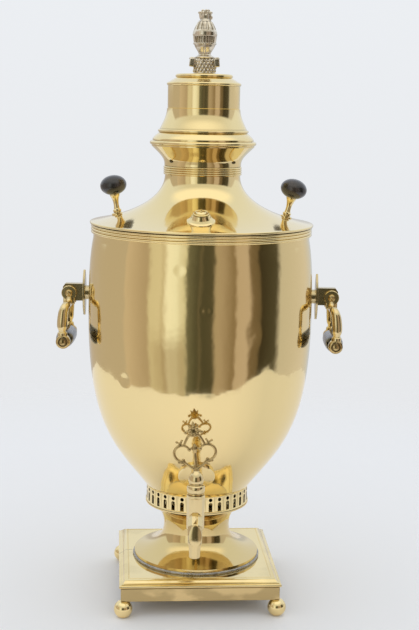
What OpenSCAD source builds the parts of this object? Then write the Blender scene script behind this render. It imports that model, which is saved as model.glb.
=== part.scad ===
// Samovar: a charcoal-fired water urn of polished brass.
// Millimetres, +Z up, the front with the tap towards -Y.
// The origin is on the table under the middle of the outline.

/* [Plinth and feet] */
// Diameter of a ball foot
foot_d = 17; // [12:0.5:24]
// How much is filed off under a ball foot
foot_flat = 0.6; // [0.2:0.1:1.2]
// How far a foot's centre is inside the plinth's side
foot_inset = 2.3; // [1:0.1:8]
// Side of the square plinth box
plinth_side = 146; // [130:1:170]
// Height of the plinth box
plinth_h = 12.5; // [8:0.5:20]
// Thickness of the plinth's sheet
plinth_wall = 1.5; // [1:0.1:2.5]
// Width of the flange turned in under the box
plinth_flange = 13; // [10:0.5:20]
// Height of the moulding over the box
moulding_h = 7; // [5:0.5:12]
// Overhang of the moulding over the box
moulding_out = 1.6; // [0.5:0.1:4]
// Width of the moulding, from its edge to the flat top
moulding_w = 9; // [6:0.5:14]
// Turn of the plinth under the round pedestal, in degrees
plinth_turn = 4.5; // [0:0.5:10]

/* [Pedestal and gallery] */
// Radius of the pedestal where it stands on the plinth
pedestal_foot_r = 59.5; // [50:0.5:62]
// Height of the pedestal
pedestal_h = 55.3; // [45:0.5:70]
// Radius of the pedestal's waist
waist_r = 31.4; // [26:0.2:38]
// Height of the waist over the plinth
waist_h = 30; // [24:0.5:36]
// Sheet thickness of the pedestal
pedestal_wall = 1.5; // [1:0.1:2.5]
// Height of the solder band round the pedestal's foot
foot_ring_h = 4.8; // [3:0.1:8]
// Thickness of the solder band
foot_ring_t = 1.8; // [1:0.1:3]
// Radius of the pierced gallery
gallery_r = 48.4; // [44:0.2:52]
// Sheet thickness of the gallery
gallery_wall = 1.2; // [0.8:0.1:2]
// Height of the gallery at its wall
gallery_h = 15.6; // [12:0.2:20]
// Number of slots round the gallery
gallery_count = 34; // [24:1:40]
// Width of a gallery slot
slot_w = 3.1; // [2:0.1:4]
// Height of a gallery slot
slot_h = 8.6; // [6:0.1:9.4]
// Diameter of the holes over the slots
hole_d = 3; // [2:0.1:3.6]

/* [Body] */
// Largest radius of the body
body_r = 104.5; // [95:0.5:115]
// Height of the largest radius over the gallery
belly_h = 166.4; // [150:0.2:180]
// Height of the body's wall over the gallery
body_h = 248.6; // [230:1:270]
// How much narrower the mouth is than the belly, in radius
mouth_in = 4.4; // [1:0.1:10]
// Sheet thickness of the body
body_wall = 1.4; // [1:0.1:2.5]
// Height of the reeded band under the lid
rim_band_h = 8.2; // [6:0.2:12]
// Thickness of the reeded band
rim_band_t = 2.2; // [1.5:0.1:3]
// Outer radius of the fire tube
tube_r = 30.5; // [26:0.5:31]
// Wall of the fire tube
tube_wall = 1.5; // [1:0.1:3]
// Height of the fire tube over the lid's edge
tube_rise = 66; // [60:1:70]
// Thickness of the grate
grate_t = 2.5; // [1.5:0.1:4]
// Number of bars in the grate
grate_slots = 5; // [3:2:7]

/* [Handles] */
// Height of the handle pivots over the table
pivot_z = 288.4; // [270:1:300]
// Distance of a pivot from the belly of the body
pivot_out = 18; // [17:0.2:24]
// Height of the pointed backplate
plate_h = 43; // [36:1:52]
// Width of the pointed backplate
plate_w = 19; // [14:1:26]
// Thickness of the backplate
plate_t = 2; // [1.5:0.1:3]
// Gap between the belly and the backplate
plate_gap = 3.2; // [2.5:0.1:5]
// Radius of the knuckle on the bracket
knuckle_r = 7.6; // [5.5:0.1:8]
// Thickness of the bracket
bracket_t = 8; // [6:0.5:12]
// Diameter of the pivot pin
pin_d = 4; // [3:0.2:5]
// Thickness of a fork's ear
ear_t = 3.6; // [2.5:0.1:5]
// Drop from the pivot to the middle of the grip
grip_drop = 42; // [38:0.5:56]
// How far the grip stands out from under the pivot
grip_out = 3; // [0:0.5:8]
// Length of the wooden grip
grip_len = 50; // [40:1:70]
// Thickness of the wooden grip
grip_d = 17; // [13:0.5:20]
// Radius of the eyes that hold the grip
eye_r = 6.6; // [5:0.1:8]
// Thickness of the eyes that hold the grip
eye_t = 4.5; // [3:0.1:6]

/* [Tap] */
// How far the plug's axis stands out from the belly
plug_reach = 7.5; // [4:0.5:17.5]
// How far the spout's front stands out from the belly
spout_reach = 33.5; // [28:0.5:41.5]
// Diameter of the tap's flange
flange_d = 33; // [26:0.5:38]
// Thickness of the tap's flange
flange_t = 3; // [2:0.2:4]
// Diameter of the inlet tube
inlet_d = 11; // [10:0.2:12]
// Width of the eight-sided barrel across its flats
barrel_w = 14.4; // [13.5:0.1:16]
// Height of the barrel over the inlet's centre
barrel_up = 22; // [18:0.5:24]
// Depth of the barrel under the inlet's centre
barrel_down = 10.5; // [9:0.5:13]
// Radius of the plug at the top of the barrel
plug_top_r = 5; // [4:0.1:5.4]
// Radius of the plug at the foot of the barrel
plug_foot_r = 4; // [3.2:0.1:4.4]
// Diameter of the water way
water_d = 6; // [4:0.2:6.4]
// Width of the eight-sided spout across its flats
spout_w = 12.6; // [11:0.1:14]
// Outer diameter of the nozzle
nozzle_d = 8.4; // [7.6:0.1:10]
// Bore of the nozzle
nozzle_bore = 5; // [4:0.1:6]
// Height of the nozzle's mouth over the table
nozzle_z = 79.5; // [70:0.5:84]
// Radius of the plug's collar
collar_r = 8; // [7:0.1:9]
// Height of the plug's collar
collar_h = 8; // [6:0.2:10]
// Height of the whole key over the plug's dome
key_h = 44; // [38:1:54]
// Width of the key's scrolls, over both
key_w = 36; // [30:1:40]
// Thickness of the key's scrollwork
key_t = 2.6; // [2.4:0.1:4]

/* [Lid] */
// How far the lid stands out past the mouth
lid_out = 3.3; // [1.5:0.1:8]
// Thickness of the lid's rolled edge
lid_edge_h = 2.2; // [1.6:0.1:3]
// Sheet thickness of the lid
lid_wall = 1.4; // [1:0.1:2.5]
// Height of the lid's neck over its edge
neck_h = 51.3; // [44:0.1:58]
// Radius of the lid's neck
neck_r = 34.7; // [34.3:0.1:38]
// Height of the reeded ring on the neck
neck_ring_h = 7.8; // [5:0.2:12]
// Depth of the lid's rim inside the body
lid_rim_h = 7; // [4:0.5:12]
// Distance of the knobs from the axis
knob_at = 78; // [70:1:84]
// Lean of the left knob away from upright, in degrees
knob_lean_left = 9; // [0:0.5:18]
// Lean of the right knob away from upright, in degrees
knob_lean_right = 14; // [0:0.5:18]
// Height of a knob's stem
stem_h = 18.5; // [14:0.5:24]
// Diameter of a wooden knob
knob_d = 24.4; // [18:0.2:30]
// Height of a wooden knob
knob_h = 18.4; // [14:0.2:24]
// Diameter of a knob's bolt
bolt_d = 4; // [3:0.2:5]
// Distance of the steam vent from the axis
vent_at = 74; // [68:1:80]
// Diameter of the steam vent's foot
vent_d = 25; // [20:0.5:30]
// Diameter of the steam vent's top
vent_top_d = 15.5; // [13:0.5:18]
// Height of the steam vent
vent_h = 7; // [5:0.5:10]
// Diameter of the vent's steam hole
vent_bore = 8; // [6:0.2:9]

/* [Crown and cap] */
// Height of the crown over the neck
crown_h = 19; // [15:0.2:24]
// Radius of the crown's lip
crown_r = 48.9; // [45:0.1:54]
// Height of the crown's lip
lip_h = 4; // [3:0.1:5]
// Sheet thickness of the crown and the cap
cap_wall = 1.3; // [1:0.1:2]
// Depth of the crown's sleeve inside the neck
sleeve_h = 16; // [10:0.5:18]
// Height of the cap's skirt
skirt_h = 28.7; // [24:0.1:34]
// Radius of the ring round the cap's skirt
skirt_ring_r = 41.6; // [40:0.1:44]
// Radius of the cap's drum
drum_r = 33; // [30:0.2:36]
// Height of the cap's drum
drum_h = 24; // [18:0.5:30]
// Height of the slope from the drum to the disc
drum_slope_h = 3.4; // [2:0.1:5]
// Radius of the disc on the cap
disc_r = 26.2; // [22:0.2:28]
// Height of the disc on the cap
disc_h = 3.6; // [2.6:0.1:5]

/* [Finial] */
// Height of the finial's bust up to its collar
bust_h = 17.9; // [15:0.1:22]
// Half-width of the finial's shoulders
shoulder_w = 13.7; // [11:0.1:16]
// Height of the helmet over the collar
helmet_h = 29; // [24:0.5:36]
// Widest radius of the helmet
helmet_r = 10.6; // [9:0.1:12]
// Height of the plume over the helmet
plume_h = 10; // [7:0.2:14]

/* [Hidden] */

// Colours
BRASS = "#c8a45a";
OLD_BRASS = "#a39a80";
EBONY = "#1c1a19";
SOLDER = "#8f9192";
IRON = "#4a4643";

// Fits and gaps
RUN = 0.06;      // radial clearance of a shaft that turns in its bore
GAP = 0.3;       // gap between faces that pass each other
SLIP = 0.5;      // radial gap of a piece that lifts out

// The pieces are built about the body's axis, which stands behind the middle of the outline.
axis_y = spout_reach / 2;
plug_at = body_r + plug_reach;
mouth_r = body_r - mouth_in;
lid_r = mouth_r + lid_out;

// Heights, from the table up
plinth_z = foot_d - foot_flat - 1.2;
plinth_top_z = plinth_z + plinth_h + moulding_h;
pedestal_z = plinth_top_z;
gallery_z = pedestal_z + pedestal_h;
body_z = gallery_z + gallery_h;
mouth_z = gallery_z + gallery_h + body_h;
lid_z = mouth_z + GAP;
neck_z = lid_z + lid_edge_h + neck_h;
crown_z = neck_z + crown_h;
lip_z = crown_z + lip_h;
skirt_z = lip_z + GAP;
drum_z = skirt_z + skirt_h;
disc_z = drum_z + drum_h + drum_slope_h;
bust_z = disc_z + disc_h;
collar_z = bust_z + bust_h;
helmet_z = collar_z;
plume_z = helmet_z + helmet_h;

// ---- Curves and sheet ------------------------------------------------------

// A point on a Bezier curve
function bezier(p, t) = pow(1 - t, 3) * p[0] + 3 * pow(1 - t, 2) * t * p[1]
  + 3 * (1 - t) * t * t * p[2] + pow(t, 3) * p[3];

// A Bezier curve as points, without its last one where that starts the next stretch
function curve(p, n, last = 1) = [for (i = [0 : n - 1 + last]) bezier(p, i / n)];

// Points on a round arc
function arc(c, r, a0, a1, n) = [for (i = [0 : n]) let (a = a0 + (a1 - a0) * i / n)
  [c[0] + r * cos(a), c[1] + r * sin(a)]];

// The direction to the inner side of an outline at point i
function inward(p, i) = let (
  a = p[max(i - 1, 0)],
  b = p[min(i + 1, len(p) - 1)],
  d = (b - a) / norm(b - a)) [-d[1], d[0]];

// An outline given a sheet's thickness on its inner side
function sheet(p, t) = concat(p, [for (i = [len(p) - 1 : -1 : 0]) p[i] + t * inward(p, i)]);

// A turned piece about the body's axis
module turned(p) rotate_extrude($fn = 96) polygon(p);

// The body's axis
module on_axis() translate([0, axis_y, 0]) children();

// A bead of n reeds along a wall of radius r, t thick
function reeds(r, z, h, t, n) = let (d = h / n) concat([[r, z]],
  [for (k = [0 : n - 1]) each [for (i = [0 : 4]) let (a = -90 + 45 * i)
    [r + t - d / 2 * 0.7 + 0.7 * d / 2 * cos(a), z + d * (k + 0.5) + 0.98 * d / 2 * sin(a)]]],
  [[r, z + h]]);

// ---- Outlines of the body --------------------------------------------------

belly_z = body_z + belly_h;
bottom_z = body_z - 7.4;
body_low = [[gallery_r, body_z], [gallery_r + 31.2, body_z + 40.8],
  [body_r, body_z + 57.5], [body_r, belly_z]];
body_up = [[body_r, belly_z], [body_r, mouth_z - 50.8],
  [mouth_r + 3.3, mouth_z - 28.7], [mouth_r, mouth_z - 12.2]];
body_line = concat([[tube_r, bottom_z], [tube_r + 4, bottom_z + 0.2], [gallery_r - 6, body_z - 4]],
  curve(body_low, 14, 0), curve(body_up, 6), [[mouth_r, mouth_z]]);

// The body filled solid, to seat what is fixed on it
module body_solid() on_axis() turned(concat([[0, bottom_z]], body_line, [[0, mouth_z]]));

// ---- Plinth and pedestal ---------------------------------------------------

half = plinth_side / 2;
box_top_z = plinth_z + plinth_h;

module on_plinth() on_axis() rotate(plinth_turn) children();

module square_ring(out, in, z0, z1) translate([0, 0, z0]) difference() {
  translate([-out, -out, 0]) cube([2 * out, 2 * out, z1 - z0]);
  translate([-in, -in, -1]) cube([2 * in, 2 * in, z1 - z0 + 2]);
}

module plinth_box() color(BRASS) on_plinth() {
  square_ring(half, half - plinth_wall, plinth_z, box_top_z);
  square_ring(half, half - plinth_flange, plinth_z, plinth_z + plinth_wall);
}

// The moulding's outline, bead below and ogee above, out from the middle of a side
bead_r = moulding_h * 0.22;
moulding_line = concat([[half, box_top_z]],
  arc([half + moulding_out - bead_r, box_top_z + 1 + bead_r], bead_r, -90, 80, 6),
  arc([half + moulding_out - moulding_w * 0.45, box_top_z + moulding_h - bead_r - 0.4], bead_r, 20, 80, 3),
  [[half + moulding_out - moulding_w, box_top_z + moulding_h]]);

module plinth_top() color(BRASS) on_plinth() difference() {
  rotate(45) rotate_extrude($fn = 4) polygon([for (q = concat(moulding_line,
    [[0, plinth_top_z], [0, plinth_top_z - plinth_wall],
    [half + moulding_out - moulding_w, plinth_top_z - plinth_wall],
    [half - plinth_wall, box_top_z]])) [q[0] * sqrt(2), q[1]]]);
  translate([0, 0, plinth_z]) cylinder(r = waist_r - 4, h = plinth_top_z, $fn = 64);
}

module ball_feet() color(BRASS) on_plinth() for (x = [-1, 1], y = [-1, 1])
  translate([x * (half - foot_inset), y * (half - foot_inset), 0]) intersection() {
    translate([0, 0, foot_d / 2 - foot_flat]) sphere(d = foot_d, $fn = 32);
    cylinder(d = foot_d, h = plinth_z, $fn = 32);
  }

pedestal_line = concat([[pedestal_foot_r, pedestal_z]],
  curve([[pedestal_foot_r, pedestal_z + foot_ring_h], [waist_r + 10.6, pedestal_z + foot_ring_h + 4],
    [waist_r, pedestal_z + foot_ring_h + 11.5], [waist_r, pedestal_z + waist_h]], 8, 0),
  curve([[waist_r, pedestal_z + waist_h], [waist_r, gallery_z - 14], [waist_r + 5.1, gallery_z - 6.5],
    [gallery_r - 0.2, gallery_z - 1.7]], 7),
  [[gallery_r + 1, gallery_z - 1.3], [gallery_r + 1, gallery_z]]);

module pedestal() color(BRASS) on_axis() {
  turned(sheet(pedestal_line, pedestal_wall));
  turned([[waist_r + 6, gallery_z - 1.3], [gallery_r + 0.5, gallery_z - 1.3],
    [gallery_r + 0.5, gallery_z], [waist_r + 6, gallery_z]]);
}

module foot_ring() color(SOLDER) on_axis() turned([[pedestal_foot_r, pedestal_z],
  [pedestal_foot_r + foot_ring_t, pedestal_z],
      [pedestal_foot_r + foot_ring_t, pedestal_z + foot_ring_h - 1],
  [pedestal_foot_r + foot_ring_t / 2, pedestal_z + foot_ring_h],
      [pedestal_foot_r, pedestal_z + foot_ring_h]]);

slot_foot = 1.2;
hole_z = slot_foot + slot_h + 0.8 + hole_d / 2;

// A slot with an arched top, cut through the gallery's wall from the axis outwards
module arched_slot() translate([gallery_r - gallery_wall - 3, 0, 0]) rotate([90, 0, 90])
  linear_extrude(gallery_wall + 6) polygon(concat([[-slot_w / 2, 0], [slot_w / 2, 0]],
    arc([0, slot_h - slot_w / 2], slot_w / 2, 0, 180, 5)));

module gallery() color(BRASS) on_axis() difference() {
  translate([0, 0, gallery_z]) difference() {
    cylinder(r = gallery_r, h = gallery_h + 2, $fn = 96);
    translate([0, 0, -1]) cylinder(r = gallery_r - gallery_wall, h = gallery_h + 4, $fn = 96);
  }
  translate([0, -axis_y, 0]) body_solid();
  for (i = [0 : gallery_count - 1]) rotate(-90 + 360 * (i + 0.5) / gallery_count) {
    translate([0, 0, gallery_z + slot_foot]) arched_slot();
    translate([gallery_r - gallery_wall - 3, 0, gallery_z + hole_z]) rotate([0, 90, 0])
      cylinder(d = hole_d, h = gallery_wall + 6, $fn = 16);
  }
}

// ---- Body ------------------------------------------------------------------

module body_shell() color(BRASS) difference() {
  on_axis() turned(sheet(body_line, body_wall));
  at_tap() translate([0, 0, -20]) cylinder(d = inlet_d, h = 40, $fn = 48);
}

tube_top_z = lid_z + tube_rise;
tube_in = tube_r - tube_wall;

module fire_tube() color(SOLDER) on_axis() turned([[tube_r, bottom_z], [tube_r, tube_top_z],
  [tube_in, tube_top_z], [tube_in, bottom_z + 3], [tube_in - 3, bottom_z + 3], [tube_in - 3, bottom_z]]);

module grate() color(IRON) on_axis() translate([0, 0, bottom_z + 3]) difference() {
  cylinder(r = tube_in - GAP, h = grate_t, $fn = 64);
  for (i = [0 : grate_slots - 1]) let (pitch = 2 * (tube_in - 6) / grate_slots)
    translate([(i - (grate_slots - 1) / 2) * pitch - 2.2, -tube_in * 0.6, -1])
      cube([4.4, tube_in * 1.2, grate_t + 2]);
}

module rim_band() color(BRASS) on_axis()
  turned(reeds(mouth_r, mouth_z - rim_band_h, rim_band_h, rim_band_t, 3));

// ---- Handles ---------------------------------------------------------------

// The frame of a handle's pivot: x points away from the body
module at_pivot(side) on_axis() rotate(side > 0 ? 0 : 180)
  translate([body_r + pivot_out, 0, pivot_z]) children();

// A cylinder along y between two places
module across(r, y0, y1) translate([0, y0, 0]) rotate([-90, 0, 0]) cylinder(r = r, h = y1 - y0, $fn = 40);

plate_x = plate_gap - pivot_out;
ear_y = bracket_t / 2 + GAP;
ear_r = knuckle_r - 0.6;

// A pointed oval, made by two arcs that cross
module pointed_oval(w, h) {
  r = (w * w + h * h) / (4 * w);
  intersection() {
    translate([r - w / 2, 0]) circle(r, $fn = 96);
    translate([w / 2 - r, 0]) circle(r, $fn = 96);
  }
}

module handle_mount(side) color(BRASS) difference() {
  at_pivot(side) {
    translate([-pivot_out - 3, 0, 0]) rotate([0, 90, 0])
      cylinder(r = knuckle_r - 1, h = plate_gap + 3, $fn = 48);
    translate([plate_x, 0, 0]) rotate([90, 0, 90]) linear_extrude(plate_t) pointed_oval(plate_w, plate_h);
    rotate([90, 0, 0]) linear_extrude(bracket_t, center = true) polygon([
      [plate_x + plate_t - 0.1, -knuckle_r], [knuckle_r * 0.5, -knuckle_r],
      [knuckle_r * 0.8, -knuckle_r * 0.6], [knuckle_r * 0.8, knuckle_r * 0.7],
      [knuckle_r * 0.5, knuckle_r + 1], [plate_x + plate_t - 0.1, knuckle_r + 1]]);
  }
  body_solid();
  at_pivot(side) across(pin_d / 2, -bracket_t, bracket_t);
}

module handle_mount_left() handle_mount(-1);
module handle_mount_right() handle_mount(1);

pin_y = ear_y + ear_t + 0.2;

module handle_pin(side) color(OLD_BRASS) at_pivot(side) {
  across(pin_d / 2, -pin_y, pin_y);
  for (s = [-1, 1]) translate([0, s * pin_y, 0]) rotate([-90 * s, 0, 0])
    rotate_extrude($fn = 32) polygon([[0, 0], [pin_d * 0.85, 0], [pin_d * 0.7, 1], [pin_d * 0.35, 1.7],
        [0, 1.8]]);
}

module handle_pin_left() handle_pin(-1);
module handle_pin_right() handle_pin(1);

eye_y = grip_len / 2;

arm_y = eye_y + eye_t / 2;
arm_r = 3.7;
elbow_r = arm_r + 1.6;
shoulder_z = -ear_r - 2.4;

// The arm on the +y side: an ear, a shoulder that goes outwards, an elbow, and a cast bar with two bulges
module cast_arm() {
  h = grip_drop + shoulder_z - elbow_r;
  across(ear_r, ear_y, ear_y + ear_t);
  translate([-ear_r * 0.8, ear_y, shoulder_z - arm_r]) cube([ear_r * 1.6, ear_t, arm_r - shoulder_z]);
  translate([0, 0, shoulder_z]) across(arm_r, ear_y + ear_t / 2, arm_y - elbow_r);
  translate([0, arm_y - elbow_r, shoulder_z - elbow_r]) rotate([90, 0, 90])
    rotate_extrude(angle = 90, $fn = 48) translate([elbow_r, 0]) circle(arm_r, $fn = 32);
  translate([0, arm_y, shoulder_z - elbow_r]) sphere(r = arm_r + 0.3, $fn = 32);
  translate([0, arm_y, shoulder_z - elbow_r]) rotate([0, 180 - atan2(grip_out, h), 0])
    rotate_extrude($fn = 32) polygon([[0, 0], [arm_r - 0.4, 0], [arm_r + 0.5, h * 0.05],
        [arm_r + 0.9, h * 0.1],
      [arm_r + 0.9, h * 0.22], [arm_r + 0.3, h * 0.32], [arm_r - 0.5, h * 0.36], [arm_r + 0.3, h * 0.4],
      [arm_r + 0.6, h * 0.5], [arm_r + 0.1, h * 0.61], [arm_r - 0.7, h * 0.65], [arm_r - 0.3, h * 0.69],
      [arm_r + 0.4, h * 0.71], [arm_r + 0.4, h * 0.86], [arm_r - 0.4, h * 0.88], [arm_r - 0.4, h], [0, h]]);
  translate([grip_out, 0, -grip_drop]) across(eye_r, eye_y, eye_y + eye_t);
}

module handle_arms(side) color(OLD_BRASS) at_pivot(side) difference() {
  for (s = [0, 1]) mirror([0, s, 0]) cast_arm();
  across(pin_d / 2 + RUN, -pin_y - 1, pin_y + 1);
  for (s = [0, 1]) mirror([0, s, 0]) across(pin_d * 0.85 + SLIP, ear_y + ear_t, pin_y + 4);
  translate([grip_out, 0, -grip_drop]) {
    across(rod_r, -eye_y - eye_t - 5, eye_y + eye_t + 5);
    across(eye_r + 3, -eye_y, eye_y);
    for (s = [0, 1]) mirror([0, s, 0]) across(eye_r + GAP, eye_y + eye_t, eye_y + eye_t + 5);
  }
}

module handle_arms_left() handle_arms(-1);
module handle_arms_right() handle_arms(1);

rod_r = 2.2;

// The grip, thick in the middle and turned in at its ends
module handle_grip(side) color(EBONY) at_pivot(side) translate([grip_out, -eye_y, -grip_drop])
  rotate([-90, 0, 0]) rotate_extrude($fn = 48) polygon(concat([[rod_r, 0], [grip_d * 0.34, 0],
      [grip_d * 0.36, 3]],
    curve([[grip_d * 0.36, 3], [grip_d / 2, 6], [grip_d / 2, grip_len * 0.3], [grip_d / 2, grip_len / 2]],
        5, 0),
    curve([[grip_d / 2, grip_len / 2], [grip_d / 2, grip_len * 0.7], [grip_d / 2, grip_len - 6],
      [grip_d * 0.36, grip_len - 3]], 5),
    [[grip_d * 0.34, grip_len], [rod_r, grip_len]]));

module handle_grip_left() handle_grip(-1);
module handle_grip_right() handle_grip(1);

// The rod through the grip with its two end caps
module grip_caps(side) color(OLD_BRASS) at_pivot(side) translate([grip_out, 0, -grip_drop]) {
  across(rod_r, -eye_y - eye_t - 0.5, eye_y + eye_t + 0.5);
  for (s = [-1, 1]) translate([0, s * (eye_y + eye_t), 0]) rotate([-90 * s, 0, 0])
    rotate_extrude($fn = 40) polygon([[0, 0], [eye_r - 0.6, 0], [eye_r - 0.2, 0.8], [eye_r - 1.4, 2.2],
      [eye_r * 0.5, 2.6], [eye_r * 0.3, 3.6], [0, 3.8]]);
}

module grip_caps_left() grip_caps(-1);
module grip_caps_right() grip_caps(1);

// ---- Tap -------------------------------------------------------------------

// Place of the tap along the body's lower curve, and its dip, a little steeper than the curve's normal
tap_t = 0.262;
tap_at = bezier(body_low, tap_t);
tap_run = bezier(body_low, tap_t + 0.01) - bezier(body_low, tap_t - 0.01);
tap_dip = atan2(tap_run[0], tap_run[1]) - 3;

// The frame of the inlet: z points out of the body and down
module at_tap() on_axis() translate([0, -tap_at[0], tap_at[1]]) rotate([90 + tap_dip, 0, 0]) children();

inlet_l = (plug_at - tap_at[0]) / cos(tap_dip);
plug_z = tap_at[1] - (plug_at - tap_at[0]) * tan(tap_dip);
barrel_foot_z = plug_z - barrel_down;
barrel_top_z = plug_z + barrel_up;
spout_z = plug_z - 1;
dome_h = collar_r + 5.2;
dome_z = barrel_top_z + GAP + collar_h + dome_h;

module at_plug() on_axis() translate([0, -plug_at, 0]) children();

module octagon(w, h) rotate(22.5) cylinder(d = w / cos(22.5), h = h, $fn = 8);

module tap_flange() color(BRASS) difference() {
  at_tap() translate([0, 0, -6]) rotate_extrude($fn = 64) polygon([[inlet_d / 2, 0], [flange_d / 2, 0],
    [flange_d / 2, flange_t + 5], [flange_d / 2 - 1, flange_t + 6], [flange_d * 0.3, flange_t + 6.4],
    [inlet_d / 2, flange_t + 6.8]]);
  body_solid();
}

module plug_bore() translate([0, 0, barrel_foot_z - 1])
  cylinder(r1 = plug_r(barrel_foot_z - 1) + RUN, r2 = plug_r(barrel_top_z + 1) + RUN,
      h = barrel_up + barrel_down + 2,
    $fn = 48);

function plug_r(z) = plug_foot_r
  + (plug_top_r - plug_foot_r) * (z - barrel_foot_z) / (barrel_up + barrel_down);

module tap_body() color(BRASS) difference() {
  union() {
    at_tap() translate([0, 0, -body_wall - 7]) cylinder(d = inlet_d, h = inlet_l + body_wall + 7, $fn = 48);
    at_plug() translate([0, 0, barrel_foot_z]) octagon(barrel_w, barrel_up + barrel_down);
  }
  at_tap() translate([0, 0, -body_wall - 8]) cylinder(d = water_d, h = inlet_l + body_wall + 8, $fn = 40);
  at_plug() {
    plug_bore();
    translate([0, 0, spout_z]) rotate([90, 0, 0]) cylinder(d = water_d, h = barrel_w, $fn = 40);
    translate([-barrel_w, -barrel_w * 1.5, barrel_foot_z - 5]) cube([2 * barrel_w, barrel_w,
        barrel_up * 2]);
    translate([-barrel_w, -barrel_w * 2, barrel_foot_z - 6]) cube([2 * barrel_w, 2 * barrel_w, 6]);
  }
}

nose_y = plug_reach - spout_reach + spout_w / 2 + 0.8;
drop_z = nozzle_z + 12;

module tap_spout() color(BRASS) at_plug() difference() {
  union() {
    translate([0, -barrel_w / 2, spout_z]) rotate([90, 0, 0]) octagon(spout_w, -nose_y - barrel_w / 2);
    translate([0, nose_y, drop_z]) octagon(spout_w, spout_z + spout_w / 2 - drop_z);
    translate([0, nose_y, drop_z - 4]) cylinder(d1 = nozzle_d, d2 = spout_w, h = 4, $fn = 48);
    translate([0, nose_y, nozzle_z]) cylinder(d = nozzle_d, h = drop_z - nozzle_z, $fn = 48);
    translate([0, plug_reach - spout_reach, drop_z + 9]) rotate([-90, 0, 0]) linear_extrude(3)
      polygon([for (a = [0 : 15 : 345]) [spout_w * 0.44 * cos(a), 8.8 * sin(a)]]);
  }
  translate([0, 1, spout_z]) rotate([90, 0, 0]) cylinder(d = water_d, h = 1 - nose_y, $fn = 40);
  translate([0, nose_y, nozzle_z - 1]) cylinder(d = nozzle_bore, h = spout_z - nozzle_z + 1, $fn = 40);
}

module hex_nut(w, h, d) difference() {
  cylinder(d = w / cos(30), h = h, $fn = 6);
  translate([0, 0, -1]) cylinder(d = d, h = h + 2, $fn = 40);
}

module tap_back_nut() color(BRASS) at_tap() translate([0, 0, -body_wall - 5.2]) hex_nut(inlet_d + 7, 4,
    inlet_d);

tail_r = plug_foot_r - 1.5;

module tap_plug() color(OLD_BRASS) at_plug() difference() {
  union() {
    translate([0, 0, barrel_foot_z - GAP]) cylinder(r1 = plug_r(barrel_foot_z - GAP),
      r2 = plug_r(barrel_top_z + GAP), h = barrel_up + barrel_down + 2 * GAP, $fn = 48);
    translate([0, 0, barrel_foot_z - GAP - 5.5]) cylinder(r = tail_r, h = 6, $fn = 32);
    translate([0, 0, barrel_top_z + GAP]) rotate_extrude($fn = 48) polygon(concat([[0, -1],
        [plug_top_r - 1, -1],
      [plug_top_r - 1, 0], [collar_r - 0.6, 0], [collar_r, 0.6], [collar_r, collar_h - 0.8],
      [collar_r - 0.8, collar_h], [collar_r - 2.8, collar_h + 0.5], [collar_r - 3, collar_h + 1.6]],
      arc([0, collar_h + 6.2], collar_r - 1.7, -42, 62, 7), [[2.6, collar_h + dome_h - 1],
          [2.2, collar_h + dome_h],
      [0, collar_h + dome_h]]));
  }
  translate([-collar_r, 0, plug_z - 0.5]) rotate([0, 90, 0]) cylinder(d = water_d, h = 2 * collar_r,
      $fn = 40);
}

module tap_washer() color(OLD_BRASS) at_plug() translate([0, 0, barrel_foot_z - GAP]) {
  translate([0, 0, -1.2]) difference() {
    cylinder(r = plug_foot_r + 2.4, h = 1.2, $fn = 40);
    translate([0, 0, -1]) cylinder(r = tail_r, h = 4, $fn = 32);
  }
  translate([0, 0, -4.2]) hex_nut(2 * plug_foot_r + 1.5, 3, 2 * tail_r);
}

// A ribbon of width w along a line of points
function ribbon(p, w) = concat([for (i = [0 : len(p) - 1]) p[i] + w / 2 * inward(p, i)],
  [for (i = [len(p) - 1 : -1 : 0]) p[i] - w / 2 * inward(p, i)]);

module stroke(p, w, n = 8) polygon(ribbon(curve(p, n), w));

key_bar = 2.2;
loop_r = 7;
drawn_w = 36;
drawn_h = 44;

// One side of the key's scrollwork, drawn drawn_w wide and drawn_h high over both sides: a diagonal from
// the foot,
// a C-shaped loop with a bud on its inner end and a leaf above and below, and an arm up to the rosette
module key_side() {
  stroke([[0.3, 0.6], [3, 2.4], [7, 5], [10.4, 9]], key_bar);
  polygon(ribbon(arc([11, 15.8], loop_r, -97, 155, 18), key_bar));
  translate([4.8, 18.8]) circle(r = 1.8, $fn = 20);
  stroke([[4.8, 18.8], [3.4, 19.8], [1.6, 20.8], [0, 20.2]], key_bar - 0.4);
  stroke([[12, 22.2], [12.8, 24.2], [13.2, 25.4], [15.4, 26.2]], key_bar - 0.4);
  stroke([[9.4, 8.2], [11.6, 7], [13, 7.2], [14.6, 8]], key_bar - 0.4);
  stroke([[9.5, 22.4], [7.6, 24.6], [7, 29.4], [2.6, 32.6]], key_bar);
  stroke([[2, 33.6], [4, 35.6], [5.6, 35], [6.6, 34.2]], key_bar - 0.4);
  translate([6.6, 34.4]) circle(r = 1.7, $fn = 20);
}

module tap_key() color(OLD_BRASS) at_plug() translate([0, 0, dome_z]) {
  translate([0, key_t / 2, 0]) rotate([90, 0, 0]) linear_extrude(key_t) scale([key_w / drawn_w,
      key_h / drawn_h]) {
    key_side();
    mirror([1, 0]) key_side();
    translate([0, 38]) pointed_oval(5, 12);
  }
  rotate_extrude($fn = 24) polygon([[0, 0], [2.2, 0], [2.6, 1.2], [1.6, 3], [1.4, key_h * 0.38], [2.5,
      key_h * 0.42],
    [2.4, key_h * 0.48], [1, key_h * 0.54], [0, key_h * 0.56]]);
  translate([0, 0, key_h * 0.78]) rotate([90, 0, 0]) translate([0, 0, -key_t * 0.8])
    cylinder(r = key_w * 0.13, h = key_t * 1.6, $fn = 32);
}

// ---- Lid -------------------------------------------------------------------

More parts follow.
